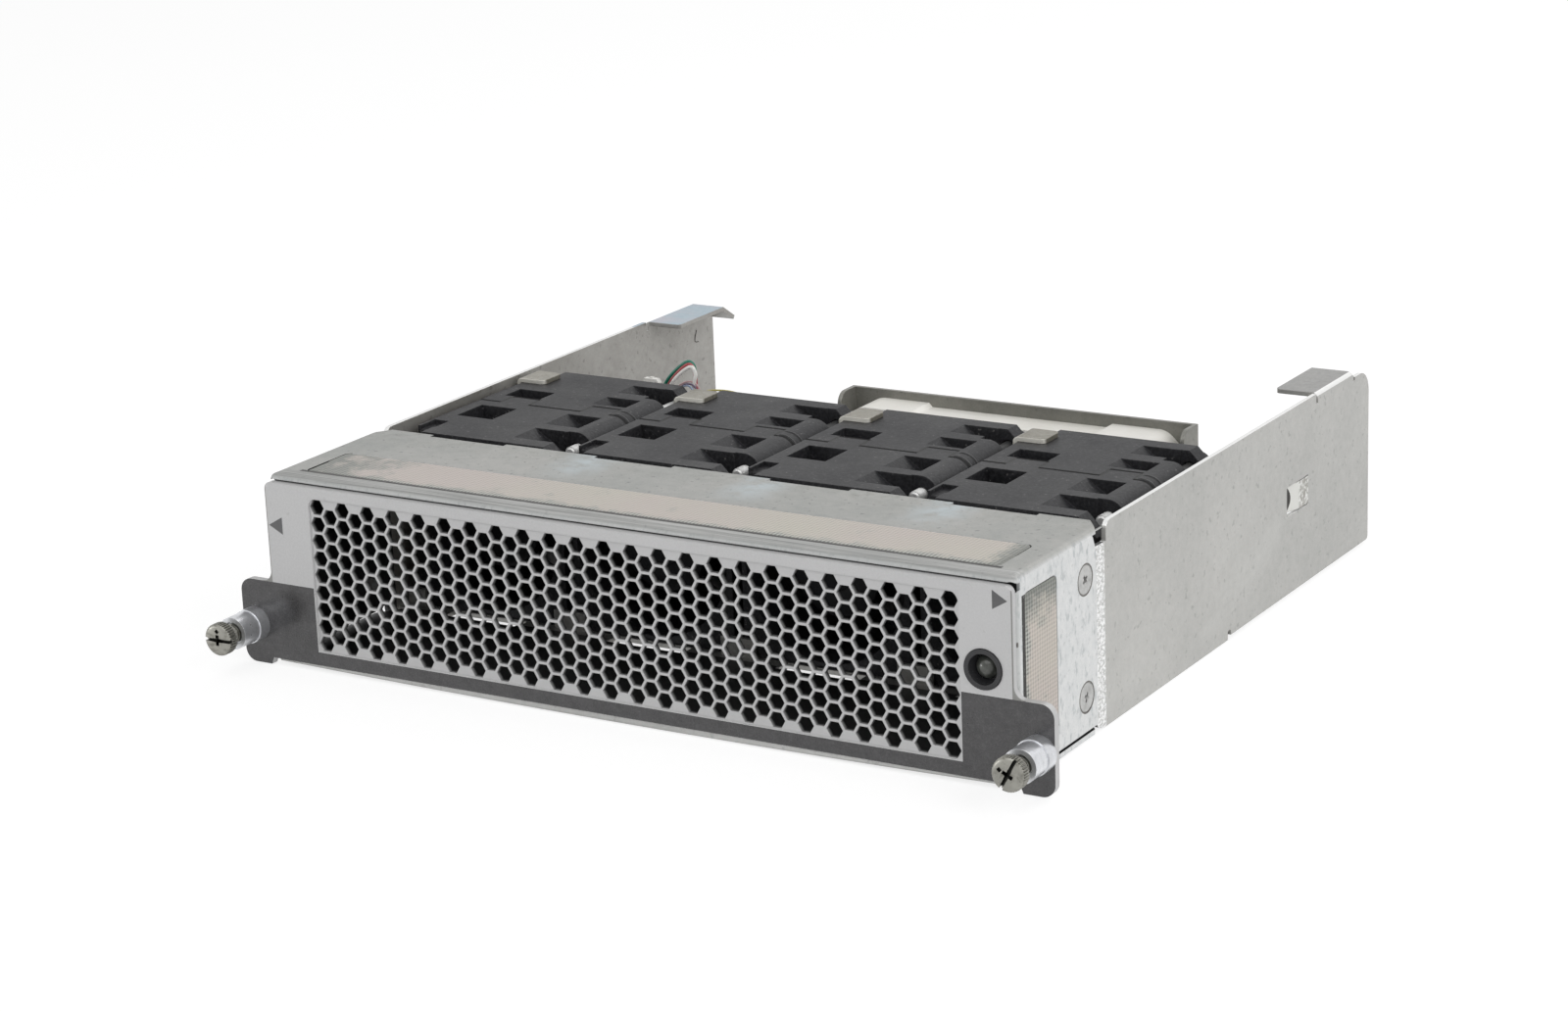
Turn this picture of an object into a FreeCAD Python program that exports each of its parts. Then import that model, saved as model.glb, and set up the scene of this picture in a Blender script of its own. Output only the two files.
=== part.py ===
"""Fan tray of a rack switch: a perforated faceplate on a sheet-metal shell, four
counter-rotating fans on a bent tray, and a docking connector on a bracket behind them.

Millimetres. While the pieces are made, x runs across the tray, y runs from the face of
the faceplate to the rear, and z runs up from the underside. At the end every piece moves
along y by one value, so that the origin is the bottom centre of the whole tray.
"""
import FreeCAD
import Part
import math
import os

# Faceplate and its grille
PLATE_THICKNESS = 1.5
PLATE_HALF_WIDTH = 88.0
PLATE_TOP = 40.6
PLATE_BOTTOM = 1.5
PLATE_CORNER_R = 1.5
EAR_REACH = 8.5
EAR_HEIGHT = 18.5
EAR_CORNER_R = 2.8
EAR_FILLET_R = 2.5
EAR_FOOT_START = 1.1
EAR_FOOT_SLANT = 0.6
EAR_PAD = 0.2
EAR_PAD_GAP = 0.2
WINDOW_DEPTH = 0.3
WINDOW_SIDE_MARGIN = 0.1
WINDOW_BOTTOM = 4.6
WINDOW_TOP = 38.2
WINDOW_CORNER_R = 2.0
HEX_PITCH = 3.75
HEX_FLATS = 3.2
HEX_COLUMNS = 47
HEX_ROWS = 9
HEX_TOP_MARGIN = 4.2

# Sheet metal shell behind the faceplate
SHEET = 1.0
SHELL_BOTTOM = 0.4
SHELL_TOP = 42.0
SHELL_REAR = 40.3
SHELL_BEND_R = 1.5
SHELL_FRONT_BEND_R = 1.2
SHELL_FLANGE_REAR = 35.4
SHELL_FLANGE_SLOT = 0.6
SHELL_CORNER_CUT_X = 3.6
SHELL_CORNER_CUT_Y = 6.3
SHELL_FOOT_CUT_X = 5.0
SHELL_FOOT_CUT_Y = 7.6
SHELL_FLANGE_CORNER = 3.4
SHELL_OPENING_MARGIN = 1.0
CORNER_RELIEF_R = 1.2
FINGER_NOTCH_WIDTH = 19.2
FINGER_NOTCH_DEPTH = 1.3

# Contact gaskets set into the four outer walls of the shell
GASKET_DEPTH = 0.6
GASKET_GAP = 0.25
GASKET_FRONT = 6.3
GASKET_WIDTH = 14.9
GASKET_HALF_LENGTH = 82.0
SIDE_GASKET_FRONT = 4.9
SIDE_GASKET_WIDTH = 13.6
SIDE_GASKET_BOTTOM = 6.4
SIDE_GASKET_TOP = 37.9
GASKET_CORNER_R = 1.5

# Status lamp in the faceplate
LAMP_X = 81.7
LAMP_Z = 23.6
LAMP_BEZEL_R = 4.0
LAMP_BEZEL_LENGTH = 7.0
LAMP_BEZEL_PROUD = 0.3
LAMP_MOUTH_R = 3.1
LAMP_SEAT_R = 1.9
LAMP_SEAT_DEPTH = 3.2
LAMP_LENS_R = 1.5
LAMP_GAP = 0.1

# Countersunk screws that join the shell to the tray's side arms
SIDE_SCREW_Y = 30.6
SIDE_SCREW_HEIGHTS = (33.1, 9.1)
SIDE_SCREW_HEAD_R = 3.0
SIDE_SCREW_R = 1.5
SIDE_SCREW_LENGTH = 3.6
SCREW_GAP = 0.06

# Bent tray: floor, side arms, handling tabs and tongue
TRAY_FRONT = 40.8
TRAY_BEND_REAR = 98.0
TRAY_FLOOR_REAR = 112.0
TRAY_BEND_R = 1.5
ARM_OUTER = 87.5
ARM_JOGGLE = 0.5
ARM_JOGGLE_END = 39.6
ARM_TONGUE_FRONT = 25.0
ARM_TONGUE_TOP = 38.0
ARM_REAR = 175.0
ARM_REAR_STEP = 0.7
ARM_REAR_TOP = 40.6
ARM_REAR_CORNER_R = 5.0
ARM_FOOT_GAP = 1.0
ARM_FOOT_RISE = 0.6
ARM_FOOT_R = 1.6
ARM_EDGE_R = 2.0
ARM_SMALL_R = 1.0
ARM_DECK_GAP = 0.5
BEND_RELIEF_WIDTH = 1.6
BEND_RELIEF_HEIGHT = 2.0
BEND_RELIEF_R = 0.6
BENT_EDGE_HEIGHT = 3.0
FLOOR_SIDE_GAP = 1.0
FLOOR_NOTCH_GAP = 0.6
TONGUE_MARGIN = 1.05
TONGUE_FILLET_R = 4.0
TONGUE_CORNER_R = 2.0
TAB_FRONT = 146.0
TAB_LENGTH = 20.0
TAB_REACH = 10.0
TAB_NOTCH = 1.0
TAB_NOTCH_DEPTH = 2.2
TAB_CORNER_R = 1.0
LIP_LENGTH = 5.0
LIP_DROP = 3.2
LIP_SIDE_GAP = 2.0
LATCH_FRONT = 129.0
LATCH_LENGTH = 12.0
LATCH_BOTTOM = 18.3
LATCH_HEIGHT = 6.7
LATCH_CORNER_R = 0.8
LATCH_TONGUE_GAP = 0.3
LATCH_TONGUE_DEPTH = 2.0
LATCH_TONGUE_FLAT = 5.0
LATCH_TONGUE_LAP = 1.5
FLOOR_STOP_WIDTH = 8.0
FLOOR_STOP_HEIGHT = 4.0
FLOOR_STOP_GAP = 0.1

# Fans
FAN_COUNT = 4
FAN_SIZE = 40.0
FAN_LENGTH = 56.0
FAN_PITCH = 42.5
FAN_FRONT = 44.4
FAN_BORE_R = 18.9
FAN_FLANGE = 4.2
FAN_FLANGE_CHAMFER = 4.0
FAN_POST_R = 4.0
FAN_POST_START = 13.1
FAN_POST_END = 43.1
FAN_CORNER_WALL = 13.95
FAN_LUG_REACH = 4.8
FAN_LUG_INNER = 7.0
FAN_LUG_OUTER = 14.5
FAN_LUG_DEPTH = 2.5
FAN_PAD_DEPTH = 1.0
RIGHT_POCKET_X = (5.5, 14.5)
RIGHT_POCKET_DEPTH = 6.1
RIGHT_POCKETS = ((4.2, 12.6), (16.1, 25.1), (34.6, 40.9), (45.1, 51.6))
LEFT_POCKET_X = (-7.5, -17.0)
LEFT_POCKET_DEPTH = 8.4
LEFT_POCKETS = ((14.6, 24.1), (33.1, 39.1))
FRONT_PAD = (-19.4, -15.6, 4.2, 9.6)
MOTOR_BASE_R = 10.2
MOTOR_BASE_LENGTH = 4.2
MOTOR_BASE_GAP = 0.3
STRUT_COUNT = 4
STRUT_WIDTH = 1.8
STRUT_LENGTH = 2.6
STRUT_ROOT = 1.0
STRUT_LAP = 0.3

# Rotors
ROTOR_HUB_R = 10.5
ROTOR_HUB_LENGTH = 18.4
ROTOR_HUB_GAP = 0.6
ROTOR_TIP_GAP = 0.6
ROTOR_SHAFT_R = 1.5
ROTOR_SHAFT_LENGTH = 4.0
ROTOR_SHAFT_GAP = 0.05
BLADE_COUNT = 5
BLADE_CHORD = 15.6
BLADE_THICKNESS = 0.9
BLADE_ROOT_SWEEP = 3.2
BLADE_TIP_SWEEP = 6.4
BLADE_CAMBER = 1.1
BLADE_ROOT_DEPTH = 0.8

# Long screw through the post of each fan
FAN_SCREW_R = 1.4
FAN_SCREW_TIP = 3.0
FAN_SCREW_HEAD_R = 2.6
FAN_SCREW_HEAD = 1.8
FAN_SCREW_BORE_R = 1.6
FAN_SCREW_HOLE_SPACING = 32.0

# Hold-down clip over the left rear corner of each fan
CLIP_FRONT = 88.5
CLIP_WIDTH = 7.3
CLIP_GAP = 0.3
CLIP_REACH = 6.3
CLIP_BEND_R = 1.3
CLIP_TIP_R = 1.5
CLIP_TOP_GAP = 0.05
CLIP_LEG_REAR = 110.0
CLIP_LEG_HEIGHT = 12.0
CLIP_FOOT_FRONT = 102.0
CLIP_FOOT_WIDTH = 9.0
RIVET_R = 1.5
RIVET_HEAD_R = 2.5
RIVET_HEAD = 0.8

# Rear bracket and docking connector
BRACKET_HALF = 45.95
BRACKET_TOP = 23.5
BRACKET_FACE = 173.0
BRACKET_FLANGE = 7.0
BRACKET_FLANGE_BOTTOM = 3.5
BRACKET_CORNER_R = 3.0
BRACKET_FOOT_R = 1.0
BRACKET_FOOT = 14.0
BRACKET_BEND_R = 1.5
BRACKET_RIVET_SPACING = 30.0
CONNECTOR_SIDE_GAP = 1.25
CONNECTOR_DEPTH = 10.0
CONNECTOR_BOTTOM = 5.5
CONNECTOR_TOP = 21.5
CONNECTOR_SADDLE = 1.0
CONNECTOR_SADDLE_HALF = 23.5
CONNECTOR_BEVEL = 1.0
CONNECTOR_SHOULDER_INSET = 5.2
CONNECTOR_SHOULDER_R = 5.0
CONNECTOR_FOOT_R = 1.0
CONNECTOR_CHEEK_R = 1.5
NOSE_INSET = 8.7
NOSE_BOTTOM = 8.0
NOSE_TOP = 19.0
NOSE_REACH = 6.0
NOSE_GAP = 0.3
MOUTH_WALL = 1.8
MOUTH_DEPTH = 12.0
CONTACT_COLUMNS = 8
CONTACT_SPACING = 7.6
CONTACT_ROW_SPACING = 4.0
CONTACT_SIZE = 1.0
CONTACT_FRONT = 1.0
CONTACT_RECESS = 6.0
CONNECTOR_SCREW_INSET = 3.3
CONNECTOR_SCREW_Z = 10.5

# Captive thumbscrews in the ears
THUMB_X = 93.2
THUMB_Z = 8.7
BARREL_R = 3.7
BARREL_NOSE_R = 3.5
BARREL_BASE = 3.0
BARREL_LENGTH = 8.0
BARREL_COLLAR_R = 3.0
BARREL_LIP = 0.8
BARREL_LIP_R = 2.5
BARREL_CHAMBER_R = 2.85
BARREL_FLOOR = 1.0
THUMB_TRAVEL = 1.5
THUMB_HEAD_R = 3.5
THUMB_HEAD = 3.5
THUMB_NECK_R = 2.1
THUMB_SHANK_R = 1.3
THUMB_THREAD_R = 1.5
THUMB_THREAD_START = 0.1
THUMB_TIP = 2.5
THUMB_HOLE_GAP = 0.15
THUMB_SLOT_WIDTH = 0.8
THUMB_SLOT_DEPTH = 1.0
THUMB_RING = 0.9
THUMB_RING_R = 2.7
THUMB_RING_GAP = 0.1
SPRING_WIRE = 0.45
SPRING_R = 2.3
SPRING_TURNS = 4
SPRING_SIDES = 16
SPRING_STEP_INSET = 0.1
SLOT_ANGLES = {"left": 0.0, "right": 62.0}

# Leads
LEAD_R = 0.6
LEAD_SLEEVE_R = 1.4
PLUG_WIDTH = 4.6
PLUG_DEPTH = 5.0
PLUG_TOP = 40.7
PLUG_HEIGHT = 9.0
PLUG_BEVEL = 0.6
PLUG_LATCH_PROUD = 0.8
PLUG_LATCH_LENGTH = 5.6
PLUG_RIGHT = -57.5
PLUG_Y = 106.0
LOOP_Y_STEP = 1.6
LOOP_X_STEP = 1.5
LOOP_DROP = 3.5
LOOP_RISE = ((0.9, 39.2), (6.2, 45.6), (9.9, 45.0), (10.2, 37.5))
LOOP_KNEE_Z = 17.0
LOOP_KNEE_X = 12.0
LOOP_KNEE_Y = 20.0
LEAD_BEND_SHARE = 0.45
LEAD_LAST_RUN = 14.0
SLEEVE_INSET = 14.8
SLEEVE_FIRST_COLUMN = 4
SLEEVE_START_Z = 6.8
SLEEVE_FIRST_RUN = 8.0
SLEEVE_SECOND_RUN = 28.0

# Values that follow from the ones above
HEX_COLUMN_STEP = HEX_PITCH * math.sqrt(3) / 2
HEX_TOP_Z = PLATE_TOP - HEX_TOP_MARGIN
HEX_BOTTOM_Z = HEX_TOP_Z - (HEX_ROWS - 1) * HEX_PITCH
HEX_POINT_R = HEX_FLATS / math.sqrt(3)
GRILLE_HALF = (HEX_COLUMNS - 1) / 2 * HEX_COLUMN_STEP + HEX_POINT_R
WINDOW_HALF = GRILLE_HALF + WINDOW_SIDE_MARGIN
EAR_HALF_SPAN = PLATE_HALF_WIDTH + EAR_REACH
EAR_BACK = PLATE_THICKNESS + EAR_PAD
SHELL_HALF = PLATE_HALF_WIDTH
SHELL_FRONT = PLATE_THICKNESS
ARM_INNER = ARM_OUTER - SHEET
FAN_HALF = FAN_SIZE / 2
FAN_BOTTOM = SHEET
FAN_TOP = FAN_BOTTOM + FAN_SIZE
FAN_AXIS_Z = FAN_BOTTOM + FAN_HALF
FAN_REAR = FAN_FRONT + FAN_LENGTH
FAN_SEAM = FAN_LENGTH / 2
FAN_CENTRES = [(i - (FAN_COUNT - 1) / 2) * FAN_PITCH for i in range(FAN_COUNT)]
POST_AT = FAN_SCREW_HOLE_SPACING / 2
TRAY_TONGUE_HALF = BRACKET_HALF + TONGUE_MARGIN
CONNECTOR_HALF = BRACKET_HALF - SHEET - CONNECTOR_SIDE_GAP
CONNECTOR_SHOULDER = CONNECTOR_HALF - CONNECTOR_SHOULDER_INSET
CONNECTOR_SCREW_X = CONNECTOR_HALF - CONNECTOR_SCREW_INSET
NOSE_HALF = CONNECTOR_HALF - NOSE_INSET
CONNECTOR_FRONT = BRACKET_FACE - CONNECTOR_DEPTH
CONNECTOR_MID_Z = (NOSE_BOTTOM + NOSE_TOP) / 2
BARREL_FRONT = -BARREL_LENGTH
THUMB_HEAD_REAR = BARREL_FRONT - THUMB_TRAVEL
THUMB_HEAD_FRONT = THUMB_HEAD_REAR - THUMB_HEAD
THUMB_RING_FRONT = BARREL_FRONT + BARREL_LIP + THUMB_RING_GAP
REACH_REAR = BRACKET_FACE + SHEET + NOSE_REACH
ORIGIN_Y = (THUMB_HEAD_FRONT + REACH_REAR) / 2
TAB_ROOT = SHELL_TOP - 3 * SHEET
ARM_REACH = 5.0
BIG = 300.0


def vec(x, y, z):
    return FreeCAD.Vector(x, y, z)


def box(x0, x1, y0, y1, z0, z1):
    return Part.makeBox(x1 - x0, y1 - y0, z1 - z0, vec(x0, y0, z0))


def rod_x(y, z, x0, x1, r):
    return Part.makeCylinder(r, x1 - x0, vec(x0, y, z), vec(1, 0, 0))


def rod_y(x, z, y0, y1, r):
    return Part.makeCylinder(r, y1 - y0, vec(x, y0, z), vec(0, 1, 0))


def rod_z(x, y, z0, z1, r):
    return Part.makeCylinder(r, z1 - z0, vec(x, y, z0), vec(0, 0, 1))


def corner_points(before, point, after):
    """Start, middle and end of the arc that rounds one corner of an outline."""
    if len(point) < 3 or point[2] <= 0:
        return point[:2], None, point[:2]
    to_before = (before[0] - point[0], before[1] - point[1])
    to_after = (after[0] - point[0], after[1] - point[1])
    long_before = math.hypot(*to_before)
    long_after = math.hypot(*to_after)
    ua = (to_before[0] / long_before, to_before[1] / long_before)
    ub = (to_after[0] / long_after, to_after[1] / long_after)
    half = math.acos(max(-1.0, min(1.0, ua[0] * ub[0] + ua[1] * ub[1]))) / 2
    cut = point[2] / math.tan(half)
    middle = (ua[0] + ub[0], ua[1] + ub[1])
    length = math.hypot(*middle)
    depth = point[2] / math.sin(half) - point[2]
    start = (point[0] + ua[0] * cut, point[1] + ua[1] * cut)
    end = (point[0] + ub[0] * cut, point[1] + ub[1] * cut)
    mid = (point[0] + middle[0] / length * depth, point[1] + middle[1] / length * depth)
    return start, mid, end


def outline_wire(points, place):
    """Closed wire through (a, b) or (a, b, radius) points; place turns (a, b) into a vector."""
    count = len(points)
    corners = [corner_points(points[i - 1], points[i], points[(i + 1) % count]) for i in range(count)]
    edges = []
    for i, (start, mid, end) in enumerate(corners):
        if mid:
            edges.append(Part.Arc(place(*start), place(*mid), place(*end)).toShape())
        following = corners[(i + 1) % count][0]
        if math.dist(end, following) > 1e-6:
            edges.append(Part.LineSegment(place(*end), place(*following)).toShape())
    return Part.Wire(edges)


def plate_xy(points, z0, z1):
    wire = outline_wire(points, lambda a, b: vec(a, b, z0))
    return Part.Face(wire).extrude(vec(0, 0, z1 - z0))


def plate_xz(points, y0, y1):
    wire = outline_wire(points, lambda a, b: vec(a, y0, b))
    return Part.Face(wire).extrude(vec(0, y1 - y0, 0))


def plate_yz(points, x0, x1):
    wire = outline_wire(points, lambda a, b: vec(x0, a, b))
    return Part.Face(wire).extrude(vec(x1 - x0, 0, 0))


def mirrored(shape):
    """The same piece on the left side of the tray."""
    return shape.mirror(vec(0, 0, 0), vec(1, 0, 0))


def fused(shapes):
    return shapes[0].multiFuse(shapes[1:]).removeSplitter()


def both_sides(shapes):
    return shapes + [mirrored(shape) for shape in shapes]


def rounded_bar(x0, x1, y0, y1, z0, z1, r):
    return plate_xy([(x0, y0, r), (x1, y0, r), (x1, y1, r), (x0, y1, r)], z0, z1)


def hex_wire(x, z, y):
    points = []
    for k in range(7):
        angle = math.radians(60 * k)
        points.append(vec(x + HEX_POINT_R * math.cos(angle), y, z + HEX_POINT_R * math.sin(angle)))
    return Part.makePolygon(points)


def grille_wires(y):
    """Hexagons in columns that stand half a pitch higher and lower by turns."""
    wires = []
    for column in range(HEX_COLUMNS):
        x = (column - (HEX_COLUMNS - 1) / 2) * HEX_COLUMN_STEP
        short = column % 2
        top = HEX_TOP_Z - short * HEX_PITCH / 2
        for row in range(HEX_ROWS - short):
            wires.append(hex_wire(x, top - row * HEX_PITCH, y))
    return wires


def faceplate():
    foot = PLATE_HALF_WIDTH + EAR_FOOT_START
    right = [
        (foot, PLATE_BOTTOM),
        (foot + EAR_FOOT_SLANT, 0.0),
        (EAR_HALF_SPAN, 0.0, EAR_CORNER_R),
        (EAR_HALF_SPAN, EAR_HEIGHT, EAR_CORNER_R),
        (PLATE_HALF_WIDTH, EAR_HEIGHT, EAR_FILLET_R),
        (PLATE_HALF_WIDTH, PLATE_TOP, PLATE_CORNER_R),
    ]
    left = [(-point[0],) + point[1:] for point in reversed(right)]
    outer = outline_wire(right + left, lambda a, b: vec(a, 0, b))
    face = Part.makeFace([outer] + grille_wires(0), "Part::FaceMakerBullseye")
    plate = face.extrude(vec(0, PLATE_THICKNESS, 0))
    blank = Part.Face(outer).extrude(vec(0, EAR_BACK, 0))
    pads = both_sides([box(SHELL_HALF + EAR_PAD_GAP, BIG, PLATE_THICKNESS / 2, EAR_BACK, -1, BIG)])
    plate = plate.multiFuse([blank.common(pad) for pad in pads])
    cuts = [window_step(), rod_y(LAMP_X, LAMP_Z, -1, EAR_BACK + 1, LAMP_BEZEL_R + LAMP_GAP)]
    for side in (-1, 1):
        cuts.append(rod_y(side * THUMB_X, THUMB_Z, -1, EAR_BACK + 1, BARREL_COLLAR_R))
    return plate.cut(cuts).removeSplitter()


def window_step():
    """Shallow recess of the front face round the grille."""
    r = WINDOW_CORNER_R
    return plate_xz([(-WINDOW_HALF, WINDOW_BOTTOM, r), (WINDOW_HALF, WINDOW_BOTTOM, r),
                     (WINDOW_HALF, WINDOW_TOP, r), (-WINDOW_HALF, WINDOW_TOP, r)], -1, WINDOW_DEPTH)


def shell_body():
    """Open box: front frame, deck, bottom and two side flanges."""
    half = SHELL_HALF
    outer = plate_xz(
        [(-half, SHELL_BOTTOM), (half, SHELL_BOTTOM), (half, SHELL_TOP, SHELL_BEND_R),
         (-half, SHELL_TOP, SHELL_BEND_R)], SHELL_FRONT, SHELL_REAR)
    front_edges = [e for e in outer.Edges if e.BoundBox.YMax < SHELL_FRONT + 0.01]
    outer = outer.makeFillet(SHELL_FRONT_BEND_R, front_edges)
    inner_half = half - SHEET
    inner_r = SHELL_BEND_R - SHEET
    inner = plate_xz(
        [(-inner_half, SHELL_BOTTOM + SHEET), (inner_half, SHELL_BOTTOM + SHEET),
         (inner_half, SHELL_TOP - SHEET, inner_r), (-inner_half, SHELL_TOP - SHEET, inner_r)],
        SHELL_FRONT + SHEET, SHELL_REAR + 1)
    return outer.cut(inner)


def shell_trims():
    """What is cut from the open box: grille opening, rear corners, slots, notches, holes."""
    half = SHELL_HALF
    opening = GRILLE_HALF + SHELL_OPENING_MARGIN
    bottom = HEX_BOTTOM_Z - HEX_FLATS / 2 - SHELL_OPENING_MARGIN / 2
    top = HEX_TOP_Z + HEX_FLATS / 2 + SHELL_OPENING_MARGIN / 2
    rear = SHELL_REAR + 1
    inner_half = half - SHEET - 0.01
    flange_bottom = SHELL_BOTTOM + SHEET
    flange_top = SHELL_TOP - SHEET - SHELL_FLANGE_CORNER
    trims = [box(-opening, opening, 0, SHELL_FRONT + SHEET + 1, bottom, top)]
    side = [
        plate_xy([(half - SHELL_CORNER_CUT_X, SHELL_REAR), (half + 1, SHELL_REAR - SHELL_CORNER_CUT_Y),
                  (half + 1, rear), (half - SHELL_CORNER_CUT_X, rear)], SHELL_TOP - SHEET, SHELL_TOP + 1),
        plate_xy([(half - SHELL_FOOT_CUT_X, SHELL_REAR), (half + 1, SHELL_REAR - SHELL_FOOT_CUT_Y),
                  (half + 1, rear), (half - SHELL_FOOT_CUT_X, rear)], -1, flange_bottom),
        plate_yz([(SHELL_FLANGE_REAR, 0), (rear, 0), (rear, SHELL_TOP - SHEET),
                  (SHELL_REAR - SHELL_CORNER_CUT_Y, SHELL_TOP - SHEET), (SHELL_FLANGE_REAR, flange_top)],
                 inner_half, half + 1),
        box(inner_half, half + 1, SHELL_FRONT + 2 * SHEET, rear, flange_bottom,
            flange_bottom + SHELL_FLANGE_SLOT),
        rod_y(half - SHEET, SHELL_TOP - SHEET - CORNER_RELIEF_R, 0, SHELL_FRONT + 2 * SHEET,
              CORNER_RELIEF_R),
    ]
    for height in SIDE_SCREW_HEIGHTS:
        side.append(countersink(height))
    trims += both_sides(side)
    trims.append(rod_y(LAMP_X, LAMP_Z, 0, SHELL_FRONT + SHEET + 1, LAMP_BEZEL_R + LAMP_GAP))
    for centre in FAN_CENTRES:
        trims.append(box(centre - FINGER_NOTCH_WIDTH / 2, centre + FINGER_NOTCH_WIDTH / 2,
                         SHELL_REAR - FINGER_NOTCH_DEPTH, rear, -1, SHELL_TOP + 1))
    return trims


def gasket_seats():
    """Pressed recesses in the walls: what is added inside, and what is cut from outside."""
    rim = SHEET / 2
    back = GASKET_DEPTH + SHEET
    rear = GASKET_FRONT + GASKET_WIDTH
    side_rear = SIDE_GASKET_FRONT + SIDE_GASKET_WIDTH
    reach = GASKET_HALF_LENGTH + rim
    inner_top = SHELL_TOP - back
    added = [
        box(-reach, reach, GASKET_FRONT - rim, rear + rim, inner_top, SHELL_TOP - SHEET),
        box(-reach, reach, GASKET_FRONT - rim, rear + rim, SHELL_BOTTOM + SHEET, SHELL_BOTTOM + back),
    ]
    added += both_sides([box(SHELL_HALF - back, SHELL_HALF - SHEET, SIDE_GASKET_FRONT - rim,
                             side_rear + rim, SIDE_GASKET_BOTTOM - rim, SIDE_GASKET_TOP + rim)])
    cuts = [
        rounded_bar(-GASKET_HALF_LENGTH, GASKET_HALF_LENGTH, GASKET_FRONT, rear,
                    SHELL_TOP - GASKET_DEPTH, SHELL_TOP + 1, GASKET_CORNER_R),
        rounded_bar(-GASKET_HALF_LENGTH, GASKET_HALF_LENGTH, GASKET_FRONT, rear,
                    SHELL_BOTTOM - 1, SHELL_BOTTOM + GASKET_DEPTH, GASKET_CORNER_R),
    ]
    side = plate_yz([(SIDE_GASKET_FRONT, SIDE_GASKET_BOTTOM, GASKET_CORNER_R),
                     (side_rear, SIDE_GASKET_BOTTOM, GASKET_CORNER_R),
                     (side_rear, SIDE_GASKET_TOP, GASKET_CORNER_R),
                     (SIDE_GASKET_FRONT, SIDE_GASKET_TOP, GASKET_CORNER_R)],
                    SHELL_HALF - GASKET_DEPTH, SHELL_HALF + 1)
    cuts += both_sides([side])
    return added, cuts


def front_shell():
    added, cuts = gasket_seats()
    body = shell_body().multiFuse(added)
    return body.cut(shell_trims() + cuts).removeSplitter()


def countersink(height, gap=SCREW_GAP):
    """Cone and hole for one side screw, on the right side."""
    slope = SIDE_SCREW_HEAD_R - SIDE_SCREW_R
    head = Part.makeCone(SIDE_SCREW_R + gap, SIDE_SCREW_HEAD_R + gap, slope,
                         vec(SHELL_HALF - slope, SIDE_SCREW_Y, height), vec(1, 0, 0))
    shank = rod_x(SIDE_SCREW_Y, height, SHELL_HALF - SIDE_SCREW_LENGTH - gap, SHELL_HALF, SIDE_SCREW_R + gap)
    return head.fuse(shank)


def side_screws():
    solids = [countersink(height, 0.0) for height in SIDE_SCREW_HEIGHTS]
    return Part.makeCompound(both_sides(solids))


def wall_gasket(top):
    """Fabric-covered strip that fills its recess in the deck or in the bottom."""
    x = GASKET_HALF_LENGTH - GASKET_GAP
    y0 = GASKET_FRONT + GASKET_GAP
    y1 = GASKET_FRONT + GASKET_WIDTH - GASKET_GAP
    z0 = SHELL_TOP - GASKET_DEPTH if top else SHELL_BOTTOM
    return rounded_bar(-x, x, y0, y1, z0, z0 + GASKET_DEPTH, GASKET_CORNER_R)


def side_gasket():
    y0 = SIDE_GASKET_FRONT + GASKET_GAP
    y1 = SIDE_GASKET_FRONT + SIDE_GASKET_WIDTH - GASKET_GAP
    z0 = SIDE_GASKET_BOTTOM + GASKET_GAP
    z1 = SIDE_GASKET_TOP - GASKET_GAP
    r = GASKET_CORNER_R
    return plate_yz([(y0, z0, r), (y1, z0, r), (y1, z1, r), (y0, z1, r)],
                    SHELL_HALF - GASKET_DEPTH, SHELL_HALF)


def lamp_bezel():
    """Black cup pushed into the faceplate, with a tapered mouth in front of the lens."""
    front = -LAMP_BEZEL_PROUD
    body = rod_y(LAMP_X, LAMP_Z, front, front + LAMP_BEZEL_LENGTH, LAMP_BEZEL_R)
    mouth = Part.makeCone(LAMP_MOUTH_R, LAMP_SEAT_R, LAMP_SEAT_DEPTH, vec(LAMP_X, front, LAMP_Z),
                          vec(0, 1, 0))
    seat = rod_y(LAMP_X, LAMP_Z, front, front + LAMP_BEZEL_LENGTH + 1, LAMP_LENS_R + LAMP_GAP)
    return body.cut([mouth, seat])


def lamp_lens():
    """Round-ended lamp body in the bore of the bezel."""
    start = LAMP_SEAT_DEPTH - LAMP_BEZEL_PROUD
    end = LAMP_BEZEL_LENGTH - LAMP_BEZEL_PROUD
    body = rod_y(LAMP_X, LAMP_Z, start, end, LAMP_LENS_R)
    dome = Part.makeSphere(LAMP_LENS_R, vec(LAMP_X, start, LAMP_Z))
    return body.fuse(dome).removeSplitter()


def arm_sheet():
    """Right arm in plan: front tongue, joggle outwards, flat run to the rear."""
    tongue_outer = ARM_OUTER - ARM_JOGGLE
    tongue_inner = tongue_outer - SHEET
    return plate_xy([(tongue_inner, ARM_TONGUE_FRONT), (tongue_outer, ARM_TONGUE_FRONT),
                     (tongue_outer, SHELL_FLANGE_REAR), (ARM_OUTER, ARM_JOGGLE_END),
                     (ARM_OUTER, ARM_REAR), (ARM_INNER, ARM_REAR), (ARM_INNER, ARM_JOGGLE_END),
                     (tongue_inner, SHELL_FLANGE_REAR)], 0, SHELL_TOP)


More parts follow.
